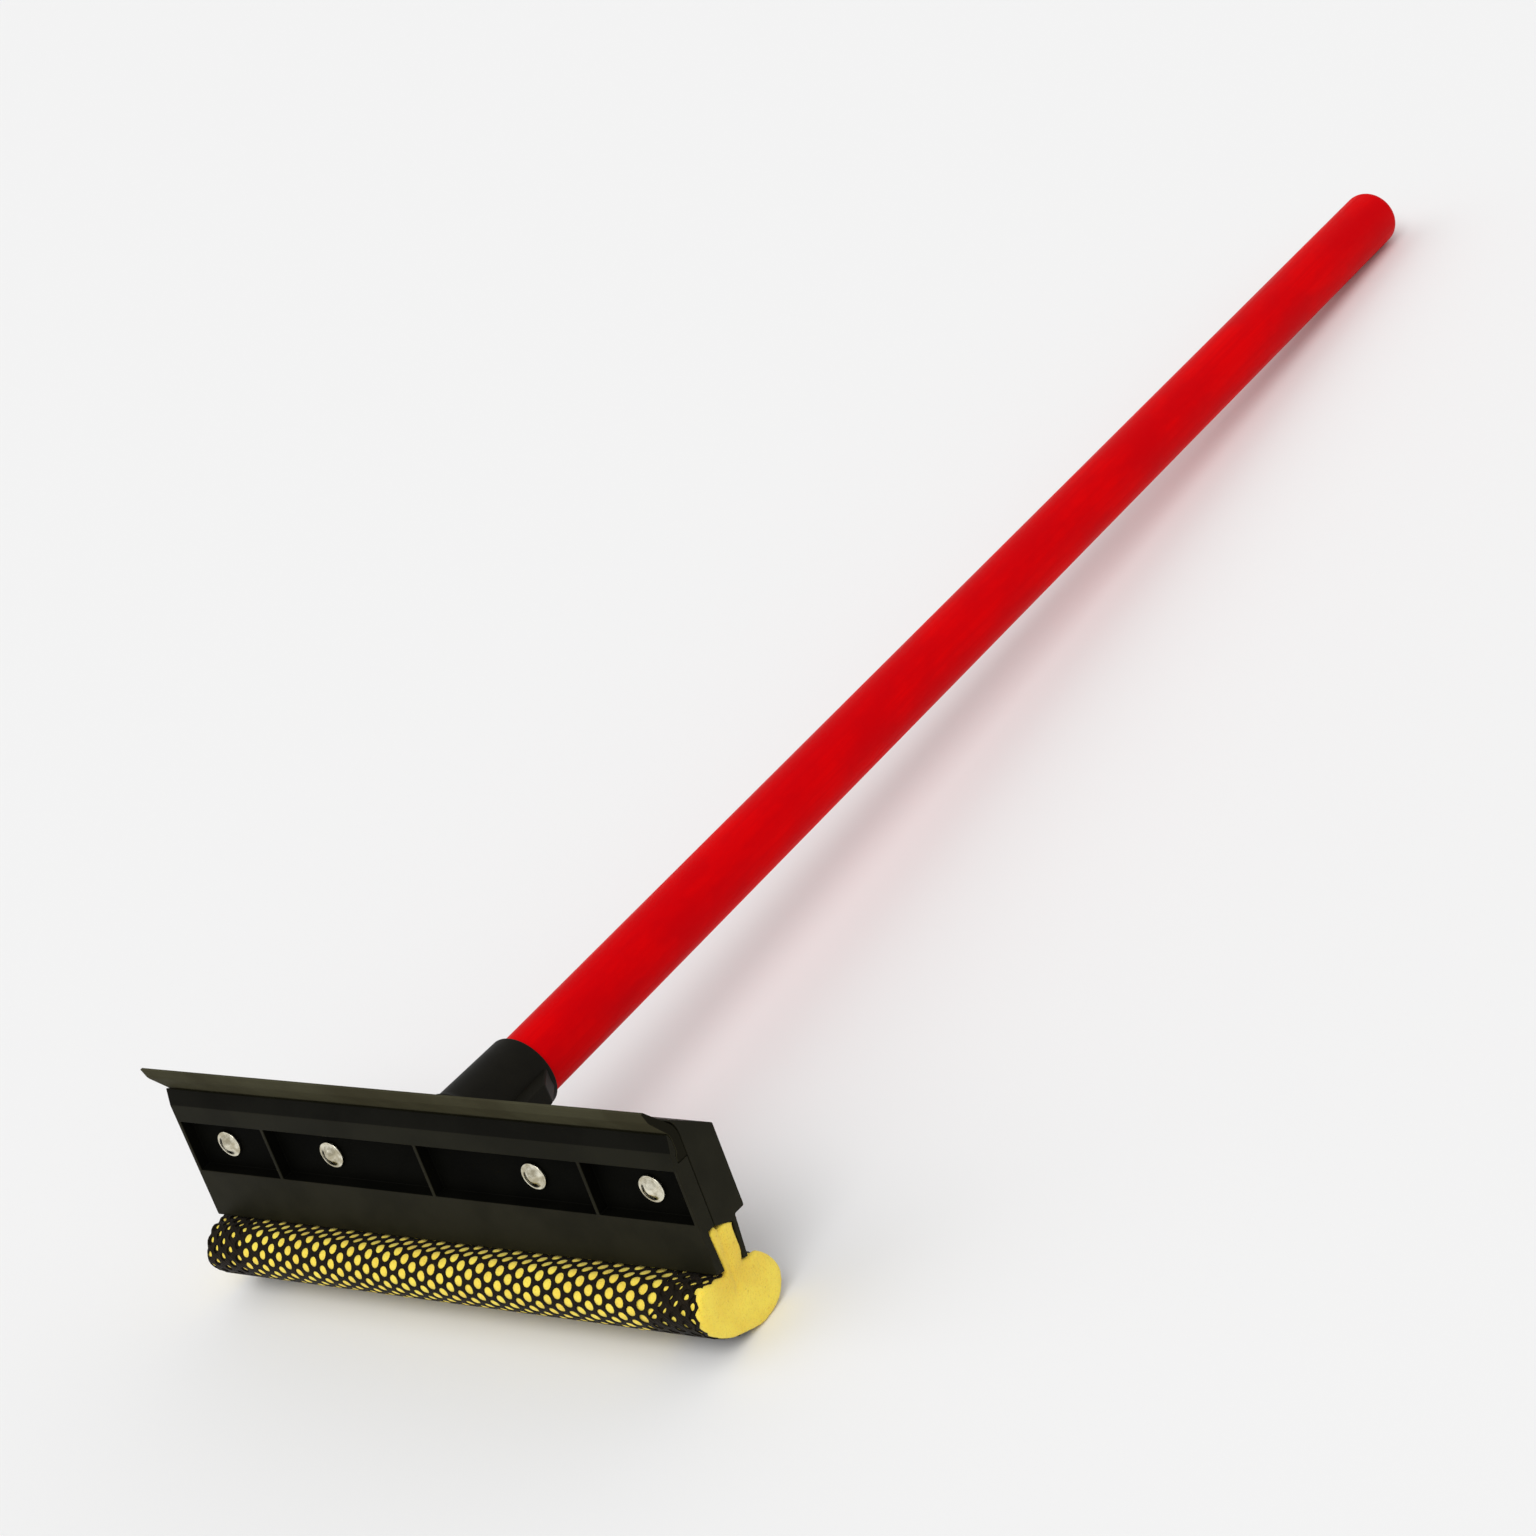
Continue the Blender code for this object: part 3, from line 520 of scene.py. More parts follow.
SATIN = Moulded("black_plastic_satin", Slot.PLASTIC, (0.0160, 0.0148, 0.0078), (0.0112, 0.0104, 0.0052),
                0.50, 0.05, dusting=0.008)
# painted shade: the socket, its webs and the screw's boss get a darker copy of the same plastic, for the
# weaker light on them
SOCKET_PAINTED_SHADE = Moulded("black_plastic_socket_painted_shade", Slot.PLASTIC, (0.0092, 0.0084, 0.0056), (0.0064, 0.0058, 0.0040),
                 0.50, 0.05, dusting=0.006)
# painted shade: the lip under the blade's overhang gets a darker copy of the plastic, for the shadow the
# blade casts on it
LIP_PAINTED_SHADE = Moulded("black_plastic_lip_painted_shade", Slot.PLASTIC, (0.0062, 0.0060, 0.0040), (0.0044, 0.0042, 0.0027),
              0.60, 0.03, wear=0.2, dusting=0.003)
# painted shade: the bays' floors and walls get a near-black copy of the plastic, for the shade that falls in
# the recesses
BAY_PAINTED_SHADE = Moulded("black_plastic_bay_painted_shade", Slot.PLASTIC, (0.0026, 0.0026, 0.0017), (0.0017, 0.0017, 0.0011),
              0.65, 0.02, wear=0.15, dusting=0.001)
# painted shade: the band above the bays gets a darker copy of the plastic, for the weaker light on it
BAND_PAINTED_SHADE = Moulded("black_plastic_band_painted_shade", Slot.PLASTIC, (0.0116, 0.0110, 0.0058), (0.0081, 0.0077, 0.0038),
               0.50, 0.05, dusting=0.006)
RUBBER = BladeRubber("extruded_rubber", Slot.RUBBER, (0.062, 0.0585, 0.0335), (0.043, 0.039, 0.0215),
                     0.6, 0.01)
# painted shade: the blade's two end faces get a far darker copy of the rubber, for the weaker light on them
RUBBER_END_PAINTED_SHADE = BladeRubber("blade_end_painted_shade", Slot.RUBBER, (0.0150, 0.0140, 0.0085), (0.0110, 0.0102, 0.0062),
                         0.7, 0.01, wear=0.0)
YARN = NetYarn("black_net_yarn", Slot.YARN, (0.016, 0.011, 0.0055), (0.007, 0.005, 0.0025), 0.65, 0.06)
ZINC = PlatedSteel("plated_steel", Slot.STEEL, (0.84, 0.80, 0.65), (0.47, 0.425, 0.30), 0.15)
FOAM = OpenFoam("yellow_foam", Slot.FOAM, (0.96, 0.755, 0.092), (0.90, 0.665, 0.076), 0.95, 0.04)
ENAMEL = PaintedWood("red_enamel", Slot.PAINT, (0.71, 0.0004, 0.0016), (0.58, 0.0002, 0.0024), 0.42, 0.015)


# ---------------------------------------------------------------- shaping

def bevel(shape: Shape, parts: list, width: float, segments: int, affect: str) -> None:
    """Bevel the EDGES or VERTICES given, to a round profile."""
    bmesh.ops.bevel(shape, geom=parts, offset=width, offset_type="OFFSET", segments=segments, profile=0.5,
                    affect=affect, material=-1, clamp_overlap=affect == "EDGES")


def verts_of(parts: Iterable[object]) -> list[bmesh.types.BMVert]:
    """The vertices among an operator's results."""
    return [part for part in parts if isinstance(part, bmesh.types.BMVert)]


def bar(corners: Iterable[Corner], start: float, stop: float) -> Shape:
    """A closed bar along X, whose outline's corners are rounded by vertex bevels.

    Args:
        corners: The outline's corners in order.
        start: X of its left end.
        stop: X of its right end.

    Returns:
        A new bmesh.
    """
    shape = bmesh.new()
    placed = [(shape.verts.new((start, y, z)), radius) for y, z, radius in corners]
    shape.faces.new([vert for vert, _ in placed])
    for vert, radius in placed:
        if radius > 0:
            sides = [edge.other_vert(vert).co - vert.co for edge in vert.link_edges]
            turn = pi - sides[0].angle(sides[1])
            bevel(shape, [vert], radius * tan(turn / 2), max(2, round(turn / radians(9))), "VERTICES")
    grown = bmesh.ops.extrude_face_region(shape, geom=shape.faces[:])["geom"]
    bmesh.ops.translate(shape, vec=(stop - start, 0, 0), verts=verts_of(grown))
    bmesh.ops.recalc_face_normals(shape, faces=shape.faces)
    return shape


def front_faces(shape: Shape, depth: float) -> list[bmesh.types.BMFace]:
    """The faces that look forward and lie at one depth.

    Args:
        shape: The bmesh to search.
        depth: Their Y.

    Returns:
        The faces found.
    """
    shape.normal_update()
    return [face for face in shape.faces
            if face.normal.dot(FRONT) > 0.999 and abs(face.calc_center_median().y - depth) < 10 * WELD]


def sink(shape: Shape, plane: float, spans: list[Point], rise: Point, depth: float, draft: float) -> None:
    """Sink rectangular bays into a face that looks forward.

    Args:
        shape: The bmesh to work on.
        plane: The face's Y.
        spans: Left and right X of each bay.
        rise: Bottom and top Z of the bays.
        depth: How deep they go.
        draft: How much narrower each wall makes the floor.
    """
    cuts = [(Vector((0, 0, height)), Vector((0, 0, 1))) for height in rise]
    cuts += [(Vector((x, 0, 0)), Vector((1, 0, 0))) for span in spans for x in span]
    for point, direction in cuts:
        parts = {part for face in front_faces(shape, plane) for part in (face, *face.edges, *face.verts)}
        bmesh.ops.bisect_plane(shape, geom=list(parts), dist=WELD, plane_co=point, plane_no=direction)
    floors = []
    for face in front_faces(shape, plane):
        middle = face.calc_center_median()
        if rise[0] < middle.z < rise[1] and any(low < middle.x < high for low, high in spans):
            floors += bmesh.ops.extrude_discrete_faces(shape, faces=[face])["faces"]
    for floor in floors:
        middle = floor.calc_center_median()
        bmesh.ops.translate(shape, vec=-FRONT * depth, verts=floor.verts[:])
        width = max(abs(vert.co.x - middle.x) for vert in floor.verts)
        height = max(abs(vert.co.z - middle.z) for vert in floor.verts)
        bmesh.ops.scale(shape, vec=(1 - draft / width, 1, 1 - draft / height), verts=floor.verts[:],
                        space=Matrix.Translation(-middle))


def ease_edges(shape: Shape, radius: float, segments: int = 2,
               where: Callable[[bmesh.types.BMEdge], bool] = lambda edge: True) -> None:
    """Round the edges that turn sharply, in a number of segments, where they may be rounded."""
    bevel(shape, [edge for edge in shape.edges if len(edge.link_faces) == 2
                  and edge.calc_face_angle() > radians(32) and where(edge)], radius, segments, "EDGES")


def turned(profile: Iterable[Point], steps: int) -> Shape:
    """A solid of revolution about Z.

    Args:
        profile: The (radius, height) points from one end on the axis to the other.
        steps: Facets round it.

    Returns:
        A new bmesh.
    """
    shape = bmesh.new()
    points = [shape.verts.new((radius, 0, height)) for radius, height in profile]
    for first, second in zip(points, points[1:]):
        shape.edges.new((first, second))
    bmesh.ops.spin(shape, geom=shape.verts[:] + shape.edges[:], cent=(0, 0, 0), axis=(0, 0, 1), angle=2 * pi,
                   steps=steps, use_merge=True)
    bmesh.ops.remove_doubles(shape, verts=shape.verts, dist=WELD)
    bmesh.ops.recalc_face_normals(shape, faces=shape.faces)
    return shape


def arc(centre: Point, radius: Point, start: float, stop: float, steps: int) -> list[Point]:
    """Points of an elliptical arc with two radii, from one angle to another."""
    angles = [start + (stop - start) * step / steps for step in range(steps + 1)]
    return [(centre[0] + radius[0] * cos(angle), centre[1] + radius[1] * sin(angle)) for angle in angles]


def smooth_step(value: float, low: float, high: float) -> float:
    """A smooth rise from 0 at low to 1 at high."""
    share = max(0.0, min(1.0, (value - low) / (high - low)))
    return share * share * (3 - 2 * share)


def linked(name: str, data: bpy.types.ID) -> bpy.types.Object:
    """A new object in the scene.

    Args:
        name: Its name.
        data: Its mesh, camera or lamp.

    Returns:
        The object.
    """
    made = bpy.data.objects.new(name, data)
    bpy.context.scene.collection.objects.link(made)
    return made


def meshed(name: str, shape: Shape) -> bpy.types.Object:
    """A new mesh object in the scene.

    Args:
        name: Its name.
        shape: Its bmesh, which is freed.

    Returns:
        The object.
    """
    mesh = bpy.data.meshes.new(name)
    shape.to_mesh(mesh)
    shape.free()
    return linked(name, mesh)


# ---------------------------------------------------------------- the head's frame

@dataclass
class Head:
    """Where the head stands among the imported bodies, and the sizes that its pieces share."""

    plate_mark: float = 8.5 * MM            # height of the front_band mount on the front plate
    clearance: float = 0.3 * MM
    parting: float = 5.7 * MM               # depth at which the two jaws meet
    plate_bend: float = 40.2 * MM
    lip_top: float = 45.6 * MM
    depth: float = 18.9 * MM                # to the back of the rear jaw
    front_lip: float = 3.3 * MM             # the slot's front wall, at its foot and at its roof
    front_waist: float = 2.7 * MM
    slot_mouth: float = 11.7 * MM           # the slot's rear wall, at its foot and at its roof
    slot_rear: float = 12.9 * MM
    slot_top: float = 12.8 * MM
    roof_drop: float = 3.1 * MM             # of the slot's roof, from front to rear
    rear_lip: float = 1.7 * MM              # thickness of the lip behind the slot
    lip_drop: float = 2.7 * MM              # of the lips, from front to rear
    bead_depth: float = 0.8 * MM            # of the blade's bead in its channel
    recess_depth: float = 3.8 * MM
    rivet_height: float = 25.4 * MM
    rivet_inner: float = 41.2 * MM
    rivet_margin: float = 15.6 * MM
    rib_offset: float = 0.8 * MM            # of the outer ribs, from midway between the rivets
    handle_rise: float = radians(2.9)
    handle_height: float = 25.0 * MM
    screw_reach: float = 36.0 * MM          # along the handle's axis
    length: float = field(init=False)
    place_matrix: Matrix = field(init=False)

    def __post_init__(self) -> None:
        """Read the head's length from the front jaw, and its tilt and place from the front plate's mount."""
        low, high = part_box("front_jaw")
        self.length = high.x - low.x
        mount = next(m for m in frame["record"]["mounts"] if m["name"] == "front_band")
        _, back, up = mount["axis"]
        turn = Matrix.Rotation(-atan2(up, -back), 4, "X")
        lift = Matrix.Translation((0, 0, -self.plate_mark))
        self.place_matrix = Matrix.Translation(mount["pos_m"]) @ turn @ lift

    @property
    def half(self) -> float:
        """Half the head's length."""
        return self.length / 2

    @property
    def rear_face(self) -> float:
        """Depth of the rear jaw's front face."""
        return self.parting + self.clearance

    @property
    def lip_slope(self) -> float:
        """How steeply the lips drop towards the rear."""
        return self.lip_drop / (self.slot_mouth + self.rear_lip)

    @property
    def rivet_places(self) -> tuple[float, ...]:
        """X of each rivet, left to right."""
        outer = self.half - self.rivet_margin
        return (-outer, -self.rivet_inner, self.rivet_inner, outer)

    @property
    def outer_rib(self) -> float:
        """X of the rib between the two rivets on the right."""
        return (self.rivet_places[2] + self.rivet_places[3]) / 2 + self.rib_offset

    @property
    def handle_matrix(self) -> Matrix:
        """Carries Z to the handle's axis, with Z = 0 where it crosses the front plane."""
        turn = Matrix.Rotation(self.handle_rise - pi / 2, 4, "X")
        return Matrix.Translation((0, 0, self.handle_height)) @ turn

    def behind(self, x: float, z: float) -> Matrix:
        """Carries Z to point straight behind the head from a place on its front."""
        return Matrix.Translation((x, 0, z)) @ Matrix.Rotation(-pi / 2, 4, "X")

    def piece(self, name: str, node: str, shape: Shape, finish: Finish, *others: Finish,
              smooth: float = radians(40), weighted: bool = True) -> bpy.types.Object:
        """Carry a finished shape to its place and dress it.

        Args:
            name: The piece's name.
            node: The CAD node that it stands for.
            shape: Its bmesh in the head's frame, which is freed.
            finish: The finish of its first material slot.
            others: The finishes of its further slots.
            smooth: Edges that turn by more than this stay crisp.
            weighted: Whether large faces keep their normals flat.

        Returns:
            The new object.
        """
        shape.transform(self.place_matrix)
        made = meshed(name, shape)
        for each in (finish, *others):
            made.data.materials.append(each.material())
        made.data.shade_smooth()
        made.data.set_sharp_from_angle(angle=smooth)
        if weighted:
            made.modifiers.new("flat_faces", "WEIGHTED_NORMAL").keep_sharp = True
        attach(made, BODY)
        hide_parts(node)
        log.info("%s: %d faces", name, len(made.data.polygons))
        return made


# ---------------------------------------------------------------- the moulded jaws

@dataclass
class FrontJaw:
    """The clamp plate in front: an upper lip, four sunk bays between ribs, and a lower lip."""

    head: Head
    lip_thickness: float = 0.52 * MM
    lip_inside: float = 1.62 * MM
    bay_bottom: float = 16.5 * MM
    bay_top: float = 34.3 * MM
    bay_draft: float = 0.35 * MM
    rib: float = 1.2 * MM
    end_wall: float = 1.3 * MM
    blade_front: float = 2.4 * MM           # the channel's front wall, beside the blade
    channel_floor: float = 36.1 * MM
    bead_top: float = 38.7 * MM
    bend_start: float = 43.22 * MM
    bend_radius: float = 2.0 * MM
    foot_round: float = 0.6 * MM
    corner: float = 0.3 * MM
    edge: float = 0.22 * MM

    def corners(self) -> list[Corner]:
        """The plate's outline.

        Returns:
            Its corners.
        """
        head = self.head
        bead_front = self.blade_front - head.bead_depth
        return [(0, 0, self.foot_round),
                (head.front_lip, -head.lip_slope * head.front_lip, self.corner),
                (head.front_waist, head.slot_top, self.corner),
                (head.parting, head.slot_top, self.corner),
                (head.parting, self.channel_floor, 0.0),
                (bead_front, self.channel_floor, self.corner),
                (bead_front, self.bead_top, self.corner),
                (self.blade_front, self.bead_top + head.bead_depth, 0.0),
                (self.blade_front, self.bend_start, 0.0),
                (self.lip_inside, head.lip_top, 0.0),
                (self.lip_inside - self.lip_thickness, head.lip_top, 0.0),
                (0, head.plate_bend, self.bend_radius)]

    def bays(self) -> list[tuple[float, float]]:
        """Left and right X of each bay.

        Returns:
            The spans from left to right.
        """
        ribs = (-self.head.outer_rib, 0.0, self.head.outer_rib)
        end = self.head.half - self.end_wall
        return list(zip([-end] + [x + self.rib / 2 for x in ribs], [x - self.rib / 2 for x in ribs] + [end]))

    def finish_of(self, face: bmesh.types.BMFace) -> int:
        """Which finish a face has.

        Args:
            face: One of the plate's faces.

        Returns:
            0 for satin, and 1, 2 and 3 for the painted shade on the lip, the bays and the band above them.
        """
        head, middle = self.head, face.calc_center_median()
        if middle.y < self.blade_front and middle.z > head.plate_bend + 0.2 * MM and face.normal.y < -0.3:
            return 1
        sunk = 0.3 * MM < middle.y < head.parting - 0.5 * MM and self.bay_bottom < middle.z < self.bay_top
        if sunk and abs(middle.x) < head.half - self.end_wall:
            return 2
        return 3 if face.normal.y < -0.9 and middle.y < 0.1 * MM and middle.z > self.bay_top else 0

    def build(self) -> None:
        """Model and dress the plate."""
        head = self.head
        shape = bar(self.corners(), -head.half, head.half)
        sink(shape, 0.0, self.bays(), (self.bay_bottom, self.bay_top), head.recess_depth, self.bay_draft)
        ease_edges(shape, self.edge, segments=3)
        shape.normal_update()
        # the lip, the bays and the band above them take darker copies of the plastic: painted shade
        for face in shape.faces:
            face.material_index = self.finish_of(face)
        head.piece("front_jaw_plate", "front_jaw", shape, SATIN, LIP_PAINTED_SHADE, BAY_PAINTED_SHADE, BAND_PAINTED_SHADE)


@dataclass
class RearJaw:
    """The moulded body behind: blade nose, slot and rear lip in one outline, with the braced socket."""

    head: Head
    bottom: float = 10.7 * MM
    top: float = 38.2 * MM
    nose_top: float = 48.6 * MM
    nose: float = 0.75 * MM
    nose_inside: float = 3.76 * MM
    bend: float = 45.74 * MM
    bend_radius: float = 7.3 * MM
    corner: float = 0.3 * MM
    inner_corner: float = 0.5 * MM
    back_corner: float = 0.6 * MM
    core_wall: float = 2.3 * MM
    core_rib: float = 1.6 * MM
    core_draft: float = 0.5 * MM
    post: float = 5.5 * MM
    edge: float = 0.25 * MM
    bore: float = 11.05 * MM
    bore_edge: float = 0.35 * MM
    socket: float = 12.35 * MM
    socket_reach: float = 49.4 * MM
    socket_floor: float = 8.1 * MM
    mouth_edge: float = 0.55 * MM
    draft: float = 0.7 * MM
    flare: float = 1.3 * MM
    flare_rise: float = 2.2                 # height of the flare over its width
    web: float = 7.0 * MM
    web_width: float = 5.2 * MM
    web_taper: float = 8.1 * MM
    web_gap: float = 1.2 * MM               # from its shoulder to the socket's mouth
    web_overlap: float = 0.65 * MM
    web_corner: float = 1.5 * MM
    web_edge: float = 0.7 * MM
    boss: float = 4.0 * MM
    boss_height: float = 0.6 * MM
    boss_edge: float = 0.3 * MM
    buried: float = 0.5 * MM
    steps: int = 96

    def corners(self) -> list[Corner]:
        """The body's outline.

        Returns:
            Its corners.
        """
        head = self.head
        roof = head.slot_top - head.clearance
        return [(head.rear_face, roof, self.corner),
                (head.slot_rear, roof - head.roof_drop, self.inner_corner),
                (head.slot_mouth, -head.lip_slope * head.slot_mouth, self.corner),
                (head.slot_mouth + head.rear_lip, -head.lip_drop, self.corner),
                (head.slot_rear + head.rear_lip, self.bottom, self.inner_corner),
                (head.depth, self.bottom, self.back_corner),
                (head.depth, self.top, self.back_corner),
                (self.nose_inside + self.nose, self.nose_top, self.corner),
                (self.nose_inside, self.nose_top, 0.0),
                (head.rear_face, self.bend, self.bend_radius)]

    def pockets(self) -> list[tuple[float, float]]:
        """X spans of the cored pockets.

        Returns:
            The spans from left to right.
        """
        inner, outer = self.head.rivet_places[2:]
        rib = self.head.outer_rib
        walls = [self.socket + self.draft + self.flare + self.core_wall, inner - self.post,
                 inner + self.post, rib - self.core_rib / 2,
                 rib + self.core_rib / 2, outer - self.post,
                 outer + self.post, self.head.half - self.core_wall]
        right = list(zip(walls[0::2], walls[1::2]))
        return [(-stop, -start) for start, stop in reversed(right)] + right

    def body(self) -> Shape:
        """The block with its pockets.

        Returns:
            A new bmesh.
        """
        head, face = self.head, self.head.rear_face
        shape = bar(self.corners(), -head.half, head.half)
        sink(shape, face, self.pockets(), (head.slot_top + self.core_wall, self.top - self.core_wall),
             head.depth - self.core_wall - face, self.core_draft)
        ease_edges(shape, self.edge, segments=3,
                   where=lambda edge: min(vert.co.y for vert in edge.verts) < face + WELD
                   or max(abs(vert.co.x) for vert in edge.verts) > head.half - WELD)
        return shape

    def sleeve(self) -> Shape:
        """The socket's sleeve with a flared root, a rounded mouth and an open bore.

        Returns:
            A new bmesh.
        """
        wide = self.socket + self.draft + self.flare
        root = self.head.slot_rear + self.head.rear_lip
        rise, edge, inner = self.flare_rise * self.flare, self.mouth_edge, self.bore_edge
        shape = turned([(0, self.socket_floor), (self.bore, self.socket_floor),
                        *arc((self.bore + inner, self.socket_reach - inner), (inner, inner), pi, pi / 2, 3),
                        *arc((self.socket - edge, self.socket_reach - edge), (edge, edge), pi / 2, 0, 4),
                        *arc((wide, self.head.depth + rise), (self.flare, rise), pi, 1.5 * pi, 8),
                        (wide, root), (0, root - 8 * MM)], self.steps)
        shape.transform(self.head.handle_matrix)
        return shape

    def webs(self) -> Shape:
        """The flat plate that braces the sleeve on both sides.

        Returns:
            A new bmesh.
        """
        foot = self.head.slot_rear + self.head.rear_lip
        shoulder = self.socket_reach - self.web_gap
        inside, spread = self.socket - self.web_overlap, self.socket + self.web_width
        right = [(spread, foot, 0.0), (spread, shoulder - self.web_taper, self.web_corner),
                 (inside, shoulder, self.web_corner)]
        left = [(-across, along, radius) for across, along, radius in reversed(right)]
        shape = bar([left[-1], *right, *left[:-1]], -self.web / 2, self.web / 2)
        ease_edges(shape, self.web_edge, segments=4)
        shape.transform(self.head.handle_matrix @ Matrix.Rotation(pi / 2, 4, "Z"))
        return shape

    def screw_boss(self) -> Shape:
        """The small raised seat under the screw's head.

        Returns:
            A new bmesh.
        """
        top, edge = self.socket + self.draft + self.boss_height, self.boss_edge
        foot = self.bore + self.buried
        rim = arc((self.boss - edge, top - edge), (edge, edge), pi / 2, 0, 3)
        shape = turned([(0, top), *rim, (self.boss, foot), (0, foot)], 48)
        shape.transform(self.head.handle_matrix @ self.head.behind(0, self.head.screw_reach))
        return shape

    def build(self) -> None:
        """Model and dress the body, its sleeve, webs and boss."""
        self.head.piece("rear_jaw_body", "rear_jaw", self.body(), SATIN)
        # the sleeve, webs and boss take the darker copy of the plastic: painted shade
        for name, shape in (("handle_socket", self.sleeve()), ("socket_webs", self.webs()),
                            ("screw_boss", self.screw_boss())):
            self.head.piece(name, "rear_jaw", shape, SOCKET_PAINTED_SHADE)


@dataclass
class Blade:
    """The moulded rubber strip with its beaded root, forward bend and upright face."""

    head: Head
    thickness: float = 3.0 * MM
    root: float = 36.4 * MM
    bead_height: float = 2.0 * MM
    bead_corner: float = 0.3 * MM
    bend: float = 44.6 * MM
    bend_radius: float = 4.0 * MM
    lean: float = radians(38)
    face_foot: float = 52.4 * MM
    tip: float = 56.3 * MM
    tip_thickness: float = 0.9 * MM
    flick: float = 1.1 * MM                 # how much further forward the tip leans
    edge: float = 0.12 * MM

    def corners(self) -> list[Corner]:
        """The strip's outline.

        Returns:
            Its corners.
        """
        back = self.head.parting
        front, slope = back - self.thickness, tan(self.lean)
        bead_front, bead_top = front - self.head.bead_depth, self.root + self.bead_height
        rear_bend = self.bend + self.thickness * tan(self.lean / 2)
        rear_tip = back - (self.tip - rear_bend) * slope - self.flick
        return [(back, self.root, 0.0),
                (bead_front, self.root, self.bead_corner),
                (bead_front, bead_top, self.bead_corner),
                (front, bead_top + self.head.bead_depth, 0.0),
                (front, self.bend, self.bend_radius),
                (front - (self.face_foot - self.bend) * slope, self.face_foot, self.bend_radius),
                (rear_tip - self.tip_thickness, self.tip, self.edge),
                (rear_tip, self.tip, self.edge),
                (back, rear_bend, self.bend_radius + self.thickness)]

    def build(self) -> None:
        """Model and dress the strip."""
        shape = bar(self.corners(), -self.head.half, self.head.half)
        ease_edges(shape, self.edge)
        shape.normal_update()
        # the faces across the head, at its two ends, take the darker copy of the rubber: painted shade
        for face in shape.faces:
            face.material_index = int(abs(face.normal.x) > 0.9)
        self.head.piece("rubber_blade", "squeegee_blade", shape, RUBBER, RUBBER_END_PAINTED_SHADE)


# ---------------------------------------------------------------- sponge and net

@dataclass
class WrapLine:
    """A line round the lobe, along which a flat strip is bent."""

    points: list[Vector]
    lengths: list[float] = field(init=False)

    def __post_init__(self) -> None:
        """Add up the line's length at each point."""
        self.lengths = [0.0]
        for first, second in zip(self.points, self.points[1:]):
            self.lengths.append(self.lengths[-1] + (second - first).length)

    @property
    def girth(self) -> float:
        """The line's whole length."""
        return self.lengths[-1]

    def heading(self, index: int) -> Vector:
        """Unit direction of one segment, the nearest one past either end."""
        index = max(0, min(index, len(self.points) - 2))
        return (self.points[index + 1] - self.points[index]).normalized()

    def at(self, along: float) -> tuple[Vector, Vector]:
        """Point and outward direction at a length along the line.

        Args:
            along: The length from the line's start.

        Returns:
            The point and the unit direction away from the sponge, both as (y, z).
        """
        along = max(0.0, min(along, self.girth - WELD))
        index = bisect_right(self.lengths, along) - 1
        share = (along - self.lengths[index]) / (self.lengths[index + 1] - self.lengths[index])
        neighbour = self.heading(index - 1 if share < 0.5 else index + 1)
        heading = self.heading(index).lerp(neighbour, abs(share - 0.5)).normalized()
        return self.points[index].lerp(self.points[index + 1], share), Vector((-heading.y, heading.x))


